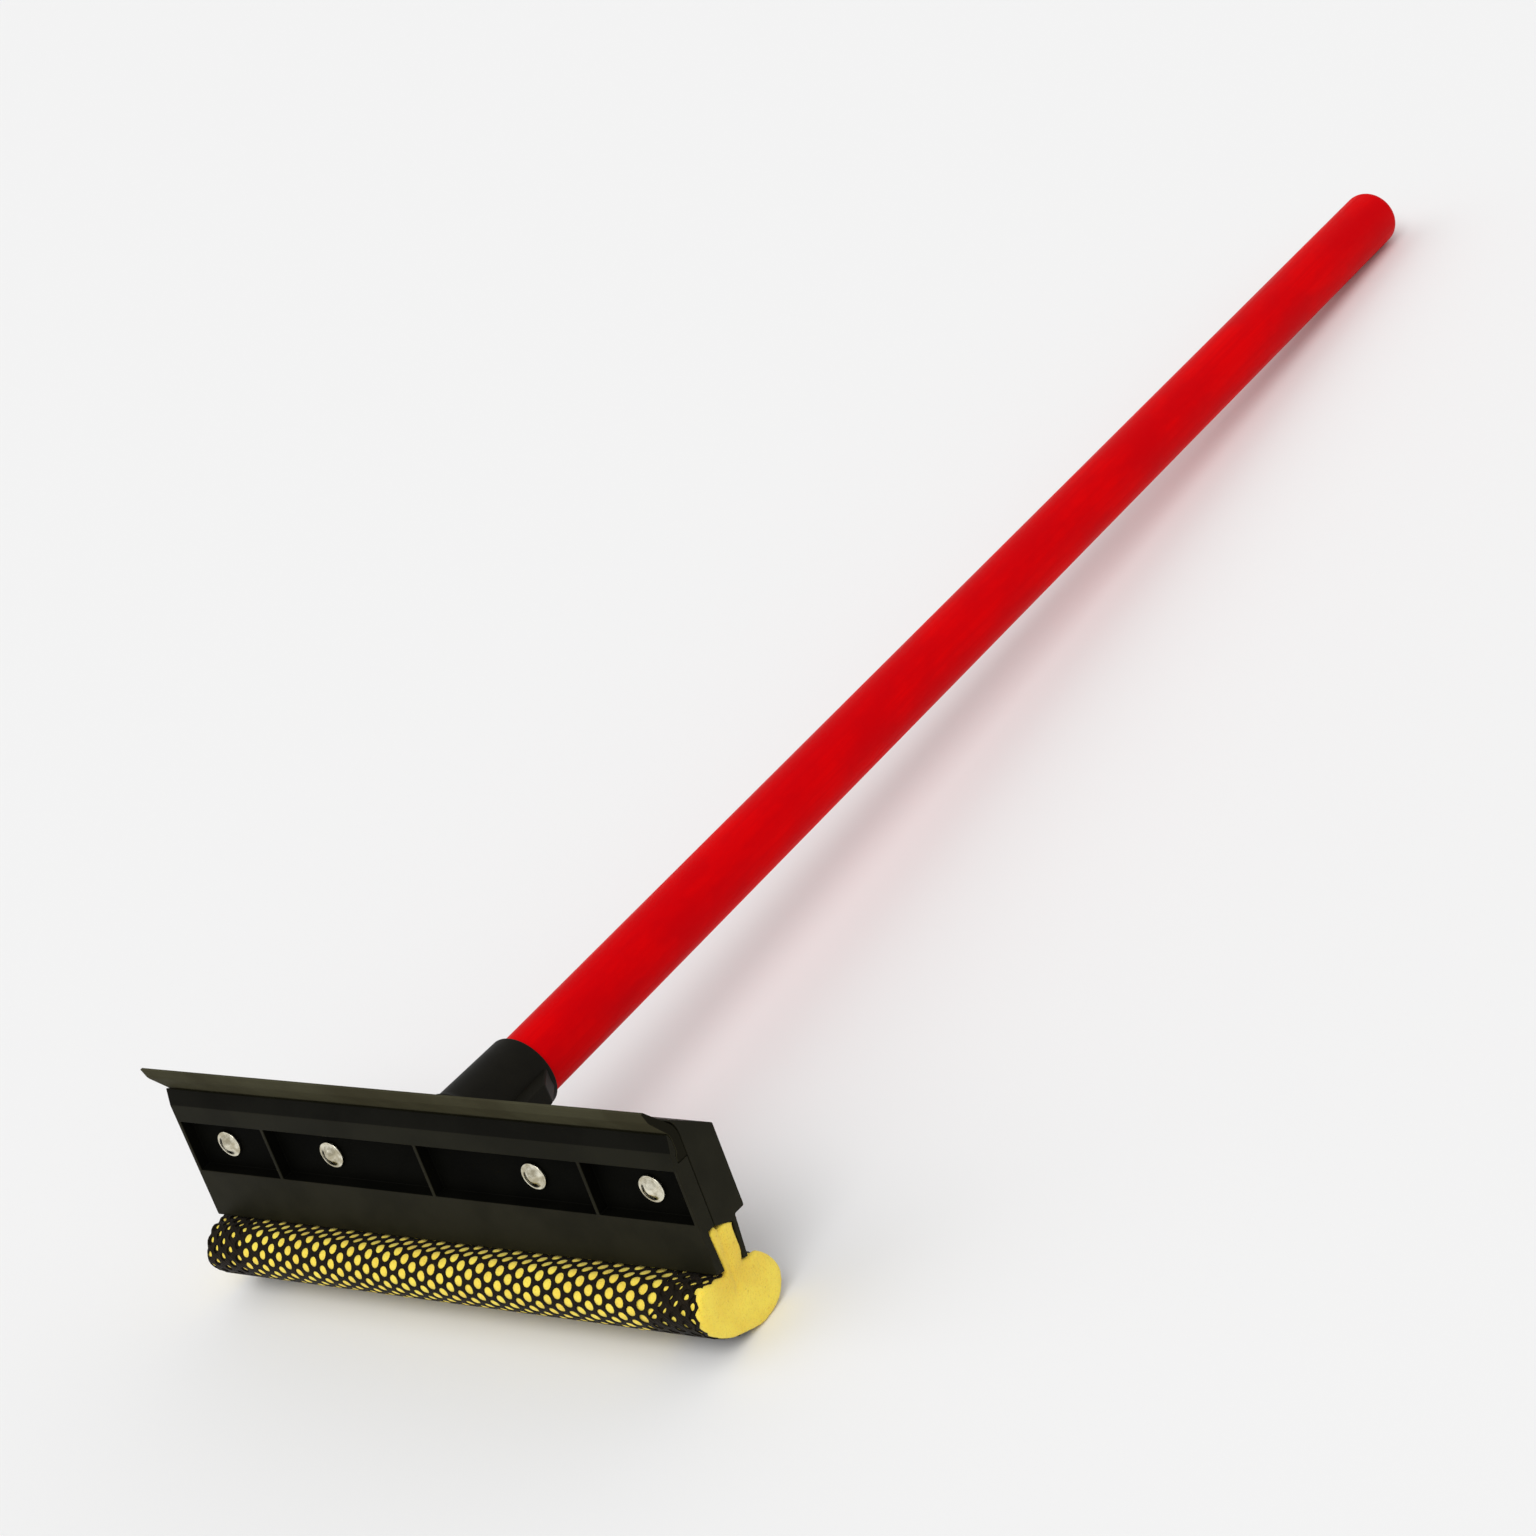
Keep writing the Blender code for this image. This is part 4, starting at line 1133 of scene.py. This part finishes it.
@dataclass
class Lobe:
    """The sponge's cross-section: an ellipse pressed flat under the lips, with a neck up the slot."""

    head: Head
    half_width: float = 17.7 * MM
    half_height: float = 11.1 * MM
    depth: float = 5.75 * MM
    drop: float = 11.0 * MM
    turn: float = radians(18)
    fabric_room: float = 1.1 * MM
    core: float = 4.0 * MM                  # round its centre, where nothing swells or shrinks
    left_draw: float = 0.3 * MM             # how far the left end lies inside the head's
    left_reach: float = 30.0 * MM
    left_round: float = 2.0 * MM
    left_taper: float = 0.8                 # how much of the rounding narrows its underside
    underside: tuple[float, float] = (-2.0 * MM, -8.0 * MM)
    shoulder: float = 2.2 * MM              # how much further its front shoulder is drawn in
    shoulder_reach: float = 12.0 * MM
    shoulder_rise: tuple[float, float] = (-11.0 * MM, -2.0 * MM)
    shoulder_depth: tuple[float, float] = (1.0 * MM, -3.5 * MM)
    shoulder_taper: float = 0.2

    @property
    def centre(self) -> Vector:
        """The ellipse's centre as (y, z)."""
        return Vector((self.depth, -self.drop))

    def point(self, angle: float, grow: float) -> Vector:
        """Point of the ellipse.

        Args:
            angle: Angle round it, 0 at its front.
            grow: How far outside it.

        Returns:
            The point as (y, z).
        """
        along = (self.half_width + grow) * cos(angle)
        across = (self.half_height + grow) * sin(angle)
        return self.centre + Vector((across * sin(self.turn) - along * cos(self.turn),
                                     along * sin(self.turn) + across * cos(self.turn)))

    def under_lips(self, y: float, grow: float) -> float:
        """Height at which the lips press it flat, at a depth and a distance outside the sponge."""
        slope = self.head.lip_slope
        return -slope * y - (self.fabric_room - grow) * sqrt(1 + slope ** 2)

    def neck(self, front: bool, z: float, grow: float) -> float:
        """Depth of the neck's front or rear face.

        Args:
            front: Which face.
            z: The height.
            grow: How far outside the sponge.

        Returns:
            The depth behind the front plane.
        """
        head, rise = self.head, max(0.0, min(1.0, z / self.head.slot_top))
        if front:
            return head.front_lip + (head.front_waist - head.front_lip) * rise + self.fabric_room - grow
        return head.slot_mouth + (head.slot_rear - head.slot_mouth) * rise - self.fabric_room + grow

    def round(self, grow: float, steps: int) -> list[Vector]:
        """The round of the lobe from its front edge below the lips to its rear edge.

        Args:
            grow: How far outside the sponge.
            steps: Number of facets.

        Returns:
            The points as (y, z).
        """
        slope = self.head.lip_slope
        level = self.under_lips(0, grow) - slope * self.depth + self.drop
        along = (self.half_width + grow) * (sin(self.turn) - slope * cos(self.turn))
        across = (self.half_height + grow) * (cos(self.turn) + slope * sin(self.turn))
        middle, half = atan2(across, along), acos(level / hypot(along, across))
        start, stop = middle - half, middle + half - 2 * pi
        return [self.point(start + (stop - start) * step / steps, grow) for step in range(steps + 1)]

    def wrapped(self, grow: float, top: float, steps: int) -> list[Vector]:
        """Open line down the neck's front, round the lobe and up the neck's rear.

        Args:
            grow: How far outside the sponge.
            top: Height of its two ends.
            steps: Facets round the lobe.

        Returns:
            The points as (y, z).
        """
        ends = [Vector((self.neck(front, top, grow), top)) for front in (True, False)]
        feet = [self.neck(front, 0, grow) for front in (True, False)]
        feet = [Vector((y, self.under_lips(y, grow))) for y in feet]
        return [ends[0], feet[0], *self.round(grow, steps), feet[1], ends[1]]

    def radial(self, point: Vector) -> Vector:
        """Unit direction from the lobe's centre to a point, as (0, y, z), fading out at the centre."""
        across = Vector((0, point.y - self.centre.x, point.z - self.centre.y))
        return across / max(across.length, self.core)

    def drawn_left(self, point: Vector) -> Vector:
        """Move a point with the left end, which is drawn in and rounded over.

        Args:
            point: A point in the head's frame.

        Returns:
            The moved point.
        """
        end = point.x + self.head.half
        if end > self.left_reach:
            return point
        slope = self.shoulder * smooth_step(point.z, *self.shoulder_rise)
        slope *= smooth_step(point.y, *self.shoulder_depth) * smooth_step(end, self.shoulder_reach, 0)
        shift = Vector((self.left_draw * (1 - end / self.left_reach) + slope, 0, 0))
        shift -= self.radial(point) * slope * self.shoulder_taper
        if end < self.left_round:
            depth = sqrt(max(0.0, 1 - (1 - max(0.0, end) / self.left_round) ** 2))
            shift -= self.radial(point) * (self.left_round * (1 - depth) * self.left_taper
                                           * smooth_step(point.z, *self.underside))
        return point + shift


@dataclass(frozen=True)
class Layer:
    """One layer of net."""

    name: str
    columns: int
    start: float                            # X of its first column
    shift: float                            # round the lobe, against the sleeve's rows
    lift: float                             # of its underside above the sponge
    openness: float                         # of its holes, as a share of the sleeve's
    slant: float = 0.0                      # how much its end narrows towards the plate


@dataclass
class Net:
    """A sleeve of knitted net round the lobe, doubled at its two ends and tucked up the slot."""

    head: Head
    lobe: Lobe
    spacing: float = 4.6 * MM               # between neighbouring holes round the lobe
    stretch: float = 0.965                  # of the hexagons along the head
    hole: Point = (1.55 * MM, 1.68 * MM)
    hole_sides: int = 12
    strand: float = 0.46 * MM
    crown: float = 0.36 * MM                # half of the strand's flat top
    crown_height: float = 0.86              # over the strand's
    strand_edge: float = 0.14 * MM
    lift: float = 0.34 * MM
    tuck: float = 5.0 * MM
    facets: int = 160
    end_margin: float = 0.5 * MM
    rear_margin: float = 2.8 * MM
    rear_start: Point = (2.0 * MM, 14.0 * MM)   # depths between which the margin grows
    pull: float = 0.06                      # how much more it is stretched towards the right
    waver: float = 0.35 * MM
    waver_scale: float = 55.0
    slant_reach: float = 14.0 * MM          # depth below the plate over which the right hem widens
    strand_sides: float = 1.15              # the strands' rounded faces add this much to their area
    tightness: float = 0.16                 # how much smaller the holes are at the left end
    tight_reach: float = 100.0 * MM
    hem: int = 5                            # columns of the doubled layer at each end
    crisp: float = radians(75)              # edges that turn by more than this look sharp

    @property
    def column(self) -> float:
        """Distance between neighbouring columns of holes along the head."""
        return self.spacing * sqrt(3) / 2 * self.stretch

    def line(self, lift: float) -> WrapLine:
        """The line that a layer of net follows."""
        return WrapLine(self.lobe.wrapped(lift, self.tuck, self.facets))

    def rows(self, line: WrapLine) -> int:
        """How many rows fit round the lobe."""
        return int(line.girth / self.spacing - 0.5)

    def first_row(self, line: WrapLine) -> float:
        """Where the first row lies along the line, so that the rows fill it evenly."""
        return (line.girth - (self.rows(line) - 0.5) * self.spacing) / 2

    def ring(self, cell: Shape, size: Iterable[float], height: float) -> list[bmesh.types.BMEdge]:
        """Add an oval to a cell.

        Args:
            cell: The cell.
            size: Its half axes along the head and across it.
            height: How high it lies.

        Returns:
            Its edges.
        """
        verts = bmesh.ops.create_circle(cell, segments=self.hole_sides, radius=1.0)["verts"]
        bmesh.ops.scale(cell, vec=(*size, 1), verts=verts)
        bmesh.ops.translate(cell, vec=(0, 0, height), verts=verts)
        return list({edge for vert in verts for edge in vert.link_edges})

    def cell(self, openness: float) -> Shape:
        """One cell of the net, flat: a rounded ring from a six-sided border to an oval hole.

        Args:
            openness: Size of the hole as a share of the sleeve's.

        Returns:
            A new bmesh.
        """
        cell = bmesh.new()
        border = bmesh.ops.create_circle(cell, segments=6, radius=self.spacing / sqrt(3))["verts"]
        bmesh.ops.rotate(cell, matrix=Matrix.Rotation(pi / 2, 3, "Z"), verts=border)
        bmesh.ops.scale(cell, vec=(self.stretch, 1, 1), verts=border)
        bmesh.ops.subdivide_edges(cell, edges=cell.edges[:], cuts=1)
        bmesh.ops.translate(cell, vec=(0, 0, self.strand), verts=cell.verts[:])
        outer = cell.edges[:]
        hole = [half * openness for half in self.hole]
        crown = self.ring(cell, [half + self.crown for half in hole], self.strand * self.crown_height)
        inner = self.ring(cell, hole, self.strand_edge)
        bmesh.ops.bridge_loops(cell, edges=outer + crown)
        bmesh.ops.bridge_loops(cell, edges=crown + inner)
        bmesh.ops.recalc_face_normals(cell, faces=cell.faces)
        if sum(face.normal.z for face in cell.faces) < 0:
            bmesh.ops.reverse_faces(cell, faces=cell.faces)
        return cell

    def patch(self, columns: int, rows: int, openness: float) -> Shape:
        """A flat patch of net as a closed mesh, X along the head and Y across it.

        Args:
            columns: Cells along the head.
            rows: Cells across.
            openness: Size of the holes as a share of the sleeve's.

        Returns:
            A new bmesh whose first cell is centred at (0, 0).
        """
        patch = self.cell(openness)
        for count, step in ((rows, Vector((0, self.spacing, 0))), (columns, Vector((self.column, 0, 0)))):
            one = patch.verts[:] + patch.edges[:] + patch.faces[:]
            for number in range(1, count):
                copy = bmesh.ops.duplicate(patch, geom=one)["geom"]
                stagger = Vector((0, self.spacing / 2, 0)) * (number % 2) if step.x else Vector()
                bmesh.ops.translate(patch, vec=step * number + stagger, verts=verts_of(copy))
        bmesh.ops.remove_doubles(patch, verts=patch.verts, dist=20 * WELD)
        tops = set(patch.verts)
        bmesh.ops.solidify(patch, geom=patch.faces[:], thickness=100 * WELD)
        for vert in patch.verts:
            if vert not in tops:
                vert.co.z = 0.0
        bmesh.ops.recalc_face_normals(patch, faces=patch.faces)
        return patch

    def tighten(self, patch: Shape, layer: Layer) -> None:
        """Narrow the holes little by little towards the left end.

        Args:
            patch: The layer's flat patch.
            layer: The layer it belongs to.
        """
        for vert in patch.verts:
            column = round(vert.co.x / self.column)
            stagger = column % 2 / 2
            row = round(vert.co.y / self.spacing - stagger) + stagger
            centre = Vector((column * self.column, row * self.spacing, vert.co.z))
            end = layer.start + centre.x + self.head.half
            if (vert.co - centre).length < self.spacing * 0.46:
                vert.co += (centre - vert.co) * self.tightness * smooth_step(end, self.tight_reach, 0)

    def placed(self, flat: Vector, layer: Layer, line: WrapLine) -> Vector:
        """Bend one flat point of a layer round the lobe.

        Args:
            flat: The point, with its height above the layer's underside.
            layer: The layer it belongs to.
            line: The line that the layer follows.

        Returns:
            The point in the head's frame.
        """
        half, first = self.head.half, self.first_row(line) + layer.shift
        waver = noise.noise_vector(Vector((layer.start + flat.x, flat.y + first, first)) * self.waver_scale)
        waver *= self.waver
        point, outward = line.at(flat.y + first + waver.y)
        rear = smooth_step(point.x, *self.rear_start)
        margin = self.end_margin + (self.rear_margin - self.end_margin) * rear
        x = layer.start + flat.x + waver.x
        x += self.pull * (x * x - half * half) / (2 * half)
        x *= (half - margin) / half if x > 0 else 1.0
        x = half - (half - x) * (1 - layer.slant * smooth_step(point.y, -self.slant_reach, 0))
        y, z = point + outward * flat.z
        return self.lobe.drawn_left(Vector((max(x, -half), y, z)))

    def layers(self) -> list[Layer]:
        """The sleeve, and the doubled net under each of its ends.

        Returns:
            The three layers.
        """
        columns = int((self.head.length - self.end_margin) / self.column)
        left = self.column * 0.55 - self.head.half
        right = left + (columns - self.hem + 0.45) * self.column
        return [Layer("sponge_net_sleeve", columns, left, 0.0, self.lift, 1.0),
                Layer("net_hem_right", self.hem, right, 0.42 * self.spacing, 0.0, 0.66, 0.3),
                Layer("net_hem_left", self.hem, left + 0.25 * MM, 0.06 * self.spacing, 0.0, 0.7)]

    def holes(self) -> list[Vector]:
        """Centres of the sleeve's holes that no hem lies under.

        Returns:
            The points in the head's frame.
        """
        sleeve = self.layers()[0]
        line = self.line(sleeve.lift)
        flat = [Vector((column * self.column, (row + column % 2 / 2) * self.spacing, 0))
                for column in range(self.hem, sleeve.columns - self.hem) for row in range(self.rows(line))]
        return [self.placed(point, sleeve, line) for point in flat]

    def build(self) -> None:
        """Model and dress the net and the doubled layers at its ends."""
        for layer in self.layers():
            line = self.line(layer.lift)
            patch = self.patch(layer.columns, self.rows(line), layer.openness)
            self.tighten(patch, layer)
            for vert in patch.verts:
                vert.co = self.placed(vert.co, layer, line)
            piece = self.head.piece(layer.name, "sponge_net", patch, YARN, smooth=self.crisp, weighted=False)


@dataclass
class Sponge:
    """One folded sheet of foam: the lobe below, both edges side by side in the slot."""

    head: Head
    lobe: Lobe
    net: Net
    voxel: float = 0.6 * MM
    facets: int = 72
    rim: float = 1.7 * MM                   # of the right end's rounding
    rim_taper: float = 0.8
    pressed: float = 0.12 * MM              # how far the net presses it in
    bulge: float = 0.55 * MM                # how far it stands up in each hole
    hole_reach: float = 2.1 * MM
    end_swell: float = 0.95 * MM            # of the bare rear part of its right end
    bare_end: Point = (3.2 * MM, 1.6 * MM)
    neck_swell: float = 1.1 * MM            # of the neck beyond the slot's walls, at the right end
    lumps: tuple[Point, ...] = ((160.0, 0.14 * MM), (620.0, 0.08 * MM))     # (scale, height)
    cut_lumps: tuple[Point, ...] = ((900.0, 0.09 * MM), (200.0, 0.2 * MM))  # of the end face
    cut_reach: float = 3.0 * MM
    fold: Point = (5.6 * MM, -7.0 * MM)     # the eye of the fold as (y, z)
    fold_lean: float = 0.07
    crease: Point = (0.45 * MM, 1.3 * MM)   # depth and half width of the line where the layers meet
    notch: Point = (1.0 * MM, 3.0 * MM)     # depth and reach of the gap between them at the top
    hollow: float = 0.45 * MM               # depth of the fold's eye

    def block(self) -> Shape:
        """The sponge's plain bar.

        Returns:
            A new bmesh.
        """
        head, face = self.head, self.head.rear_face
        roof = head.slot_top - 2 * head.clearance
        rear = self.lobe.neck(False, roof - head.roof_drop, 0)
        rear_roof = roof - head.roof_drop * (rear - face) / (head.slot_rear - face)
        outline = [*self.lobe.wrapped(0, roof, self.facets)[:-1], (rear, rear_roof), (face, roof)]
        return bar([(y, z, 0.0) for y, z in outline], -head.half, head.half)

    def cells(self) -> Shape:
        """The block with an even surface, as fine as a padded piece needs.

        Returns:
            A new bmesh.
        """
        draft = meshed("sponge_block", self.block())
        remesh = draft.modifiers.new("even_cells", "REMESH")
        remesh.mode = "VOXEL"
        remesh.voxel_size = self.voxel
        bpy.context.view_layer.update()
        foam = bmesh.new()
        foam.from_object(draft, bpy.context.evaluated_depsgraph_get())
        bpy.data.objects.remove(draft, do_unlink=True)
        return foam

    def shaped(self, point: Vector, to_hole: float) -> Vector:
        """Where a point of the plain block goes.

        Args:
            point: The point in the head's frame.
            to_hole: Its distance from the nearest open hole of the net.

        Returns:
            The moved point.
        """
        end = self.head.half - point.x
        grow = sum(noise.noise(point * scale) * height for scale, height in self.lumps)
        grow += self.bulge * max(0.0, 1 - (to_hole / self.hole_reach) ** 2) - self.pressed
        rear = smooth_step(point.y, *self.net.rear_start)
        grow += (self.end_swell + self.pressed) * rear * smooth_step(end, *self.bare_end)
        if end < self.rim:
            grow -= self.rim * (1 - sqrt(1 - (1 - max(0.0, end) / self.rim) ** 2)) * self.rim_taper
        moved = point + self.lobe.radial(point) * grow * smooth_step(point.z, 2 * MM, 0)
        if end < self.cut_reach:
            moved.x -= self.dent(point) * (1 - end / self.cut_reach)
        eye = self.fold[0]
        side = smooth_step(point.y, eye, 2 * eye) - smooth_step(point.y, eye, 3 * MM)
        above = smooth_step(point.z, -3.5 * MM, -0.5 * MM) * smooth_step(end, 3.2 * MM, 1.2 * MM)
        moved.y += self.neck_swell * above * side
        moved.z -= self.layer_drop(point)
        return self.lobe.drawn_left(moved)

    def parting(self, z: float) -> float:
        """Depth at which the two layers of foam meet, at a height."""
        return self.fold[0] + (z - self.fold[1]) * self.fold_lean

    def layer_drop(self, point: Vector) -> float:
        """How far a point near the neck's top sinks, where each layer of foam is rounded over.

        Args:
            point: A point of the plain block.

        Returns:
            The downward move.
        """
        meet, top = self.parting(point.z), self.head.slot_top
        far = self.lobe.neck(point.y < meet, point.z, 0)
        half = abs(far - meet) / 2
        aside = min(1.0, abs(point.y - (far + meet) / 2) / half)
        return half * (1 - sqrt(1 - aside * aside)) * smooth_step(point.z, top - 4 * MM, top - 1.5 * MM)

    def dent(self, point: Vector) -> float:
        """How far the right end face is drawn in: at the fold's eye, along the parting, and at random.

        Args:
            point: A point near the end face.

        Returns:
            The inward move.
        """
        aside, rise = point.y - self.parting(point.z), point.z - self.fold[1]
        crease = self.crease[0] * max(0.0, 1 - abs(aside) / self.crease[1])
        crease *= smooth_step(rise, 0.5 * MM, 4 * MM)
        notch = self.notch[0] * max(0.0, 1 - hypot(aside, point.z - self.head.slot_top) / self.notch[1])
        hollow = self.hollow * smooth_step(hypot(point.y - self.fold[0], rise), 2.2 * MM, 0.4 * MM)
        rough = sum((noise.noise(point * scale) + 1) * height for scale, height in self.cut_lumps)
        return max(crease, notch, hollow) + rough

    def build(self) -> None:
        """Model and dress the sponge."""
        holes = self.net.holes()
        tree = KDTree(len(holes))
        for number, hole in enumerate(holes):
            tree.insert(hole, number)
        tree.balance()
        foam = self.cells()
        for vert in foam.verts:
            vert.co = self.shaped(vert.co, tree.find(vert.co)[2])
        bmesh.ops.smooth_vert(foam, verts=foam.verts, factor=0.3, use_axis_x=True, use_axis_y=True,
                              use_axis_z=True)
        # the fold's crotch at the right end, round which the foam's colour carries painted shade
        crotch = self.head.place_matrix @ Vector((self.head.half, self.fold[0] + 0.5 * MM, 0))
        finish = replace(FOAM, fold=tuple(crotch))
        sponge = self.head.piece("foam_sponge", "scrub_sponge", foam, finish, smooth=pi, weighted=False)


# ---------------------------------------------------------------- fasteners and handle

@dataclass
class Fasteners:
    """Four rivets with washers, and the screw that holds the handle."""

    head: Head
    shank: float = 2.0 * MM
    dome: float = 3.85 * MM
    dome_height: float = 1.5 * MM
    dome_power: float = 0.8                 # under 1, its flanks are fuller than a cosine's
    dome_steps: int = 16
    flat_head: float = 4.2 * MM
    flat_height: float = 1.4 * MM
    washer: float = 4.45 * MM
    washer_thickness: float = 0.7 * MM
    edge: float = 0.25 * MM
    play: float = 0.02 * MM
    screw_seat: float = 13.95 * MM
    screw_shank: float = 1.3 * MM
    screw_head: float = 2.9 * MM
    screw_height: float = 1.7 * MM
    screw_start: float = 1.75 * MM
    screw_point: float = 2.6 * MM
    screw_rim: float = 0.6 * MM
    screw_round: float = 1.1 * MM
    cross: tuple[float, float, float] = (1.6 * MM, 0.35 * MM, 0.8 * MM)     # half length, half width, depth
    steps: int = 64

    @property
    def washer_front(self) -> float:
        """Depth of the washers' front faces."""
        return self.head.recess_depth - self.head.clearance - self.washer_thickness

    def rivet(self) -> Shape:
        """A rivet on Z: its clinched dome in front, its set head behind.

        Returns:
            A new bmesh.
        """
        front = self.washer_front - self.play
        behind = self.head.depth + self.head.clearance
        shares = [step / self.dome_steps for step in range(self.dome_steps + 1)]
        bulges = [(0.5 + 0.5 * cos(pi * share)) ** self.dome_power for share in shares]
        clinch = [(self.dome * share, front - self.dome_height * bulge)
                  for share, bulge in zip(shares, bulges)]
        back = arc((0, behind + self.edge), (self.flat_head, self.flat_height - self.edge), 0, pi / 2, 12)
        return turned([*clinch, (self.shank, front), (self.shank, behind), (self.flat_head, behind), *back],
                      self.steps)

    def washer_ring(self) -> Shape:
        """A washer on Z with rounded edges.

        Returns:
            A new bmesh.
        """
        front, back = self.washer_front, self.head.recess_depth - self.head.clearance
        hole = self.shank + self.head.clearance
        rim = arc((self.washer - self.edge, front + self.edge), (self.edge, -self.edge), pi / 2, 0, 5)
        shape = turned([(0, front), *rim, (self.washer, back), (0, back)], self.steps)
        poles = [vert for vert in shape.verts if hypot(vert.co.x, vert.co.y) < hole / 2]
        bevel(shape, poles, hole, 1, "VERTICES")
        caps = [face for face in shape.faces if len(face.verts) > 8]
        rings = list({edge for face in caps for edge in face.edges})
        bmesh.ops.delete(shape, geom=caps, context="FACES_ONLY")
        bmesh.ops.bridge_loops(shape, edges=rings)
        bmesh.ops.recalc_face_normals(shape, faces=shape.faces)
        return shape

    def screw(self) -> Shape:
        """The pan head screw on Z with a cross recess.

        Returns:
            A new bmesh.
        """
        seat, top = self.screw_seat, self.screw_seat + self.screw_height
        pan = arc((self.screw_head - self.screw_round, seat + self.screw_rim),
                  (self.screw_round, self.screw_height - self.screw_rim), 0, pi / 2, 8)
        shape = turned([(0, self.screw_start), (self.screw_shank, self.screw_start + self.screw_point),
                        (self.screw_shank, seat), (self.screw_head, seat), *pan, (0, top)], 48)
        length, width, depth = self.cross
        for vert in shape.verts:
            aside = sorted((abs(vert.co.x), abs(vert.co.y)))
            if vert.co.z > top - 0.2 * MM and aside[0] < width and aside[1] < length:
                vert.co.z = top - depth
        return shape

    def build(self) -> None:
        """Model and dress every fastener."""
        for number, x in enumerate(self.head.rivet_places, start=1):
            for name, node, shape in ((f"rivet_body_{number}", f"rivet_{number}", self.rivet()),
                                      (f"washer_ring_{number}", f"washer_{number}", self.washer_ring())):
                shape.transform(self.head.behind(x, self.head.rivet_height))
                self.head.piece(name, node, shape, ZINC)
        shape = self.screw()
        shape.transform(self.head.handle_matrix @ self.head.behind(0, self.head.screw_reach))
        self.head.piece("socket_screw", "handle_screw", shape, ZINC)


@dataclass
class Handle:
    """The turned dowel with its domed tip."""

    head: Head
    radius: float = 10.75 * MM
    reach: float = 612.0 * MM
    tip_dome: float = 6.5 * MM
    inner_end: float = 8.4 * MM
    chamfer: float = 1.0 * MM
    lengths: int = 60
    steps: int = 128

    def build(self) -> None:
        """Model and dress the dowel."""
        foot, shoulder = self.inner_end + self.chamfer, self.reach - self.tip_dome
        rises = [foot + (shoulder - foot) * step / self.lengths for step in range(self.lengths)]
        straight = [(self.radius, rise) for rise in rises]
        shape = turned([(0, self.inner_end), (self.radius - self.chamfer, self.inner_end), *straight,
                        *arc((0, shoulder), (self.radius, self.tip_dome), 0, pi / 2, 20)], self.steps)
        shape.transform(self.head.handle_matrix)
        paint = replace(ENAMEL, turn=self.head.place_matrix.to_euler().x + self.head.handle_rise)
        self.head.piece("painted_handle", "handle", shape, paint, weighted=False)


# ---------------------------------------------------------------- studio

def facing(azimuth: float, elevation: float, target: Vector, distance: float) -> Matrix:
    """The place of a camera or lamp that looks at a target.

    Args:
        azimuth: Direction in degrees, 0 in front of the head and 90 at its right end.
        elevation: Height in degrees.
        target: What it looks at.
        distance: How far away it stands.

    Returns:
        Its matrix in the world.
    """
    turn, rise = radians(azimuth), radians(elevation)
    back = Vector((sin(turn) * cos(rise), -cos(turn) * cos(rise), sin(rise)))
    return Matrix.Translation(target + back * distance) @ back.to_track_quat("Z", "Y").to_matrix().to_4x4()


@dataclass
class Studio:
    """A plain pale floor, soft lamps and the camera."""

    azimuth: float = 46.617
    elevation: float = 27.426
    roll: float = radians(-25.125)
    distance: float = 1.34146
    target: Vector = field(default_factory=lambda: Vector((-44.98, -62.81, 20.83)) * MM)
    lens: float = 93.75
    floor_size: float = 12.0
    floor_drop: float = 0.05 * MM
    room: float = 0.66

    def camera(self) -> None:
        """Place the camera."""
        data = bpy.data.cameras.new("view")
        data.lens, data.sensor_width = self.lens, 36.0
        data.clip_start, data.clip_end = 0.05, 50.0
        made = linked("view", data)
        level = facing(self.azimuth, self.elevation, self.target, self.distance)
        made.matrix_world = level @ Matrix.Rotation(self.roll, 4, "Z")
        bpy.context.scene.camera = made

    def floor(self) -> None:
        """Lay the floor."""
        shape = bmesh.new()
        bmesh.ops.create_grid(shape, x_segments=1, y_segments=1, size=self.floor_size / 2)
        bmesh.ops.translate(shape, vec=(0, 0, -self.floor_drop), verts=shape.verts)
        made = meshed("floor", shape)
        paper = Coat("pale_paper")
        paper.set(Base_Color=(0.86, 0.86, 0.86), Roughness=0.9, Specular_IOR_Level=0.1)
        made.data.materials.append(paper.material)

    def lamp(self, name: str, azimuth: float, elevation: float, width: float, power: float) -> None:
        """Shine one distant soft lamp on the tool.

        Args:
            name: Its name.
            azimuth: Its direction in degrees.
            elevation: Its height in degrees.
            width: Its apparent width in degrees.
            power: Irradiance in watts per square metre.
        """
        data = bpy.data.lights.new(name, "SUN")
        data.angle, data.energy = radians(width), power
        linked(name, data).matrix_world = facing(azimuth, elevation, Vector(), 2.0)

    def world(self) -> None:
        """Light the room evenly."""
        world = bpy.data.worlds.new("room")
        world.use_nodes = True
        bpy.context.scene.world = world
        light = world.node_tree.nodes["Background"]
        light.inputs["Color"].default_value = (1.0, 1.0, 1.0, 1.0)
        light.inputs["Strength"].default_value = self.room

    def build(self) -> None:
        """Set the stage."""
        bpy.context.scene.view_settings.view_transform = "Standard"
        self.camera()
        self.floor()
        self.world()
        self.lamp("key", 30, 52, 35, 1.1)
        self.lamp("fill", -60, 45, 50, 0.5)


def main() -> None:
    """Build every sub-assembly in order and report its pieces."""
    logging.basicConfig(level=logging.INFO, format="%(name)s: %(message)s")
    noise.seed_set(SEED)
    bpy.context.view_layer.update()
    head = Head()
    lobe = Lobe(head)
    net = Net(head, lobe)
    Studio().build()
    for part in (FrontJaw(head), RearJaw(head), Blade(head), Sponge(head, lobe, net), net, Fasteners(head),
                 Handle(head)):
        part.build()


if __name__ == "__main__":
    main()
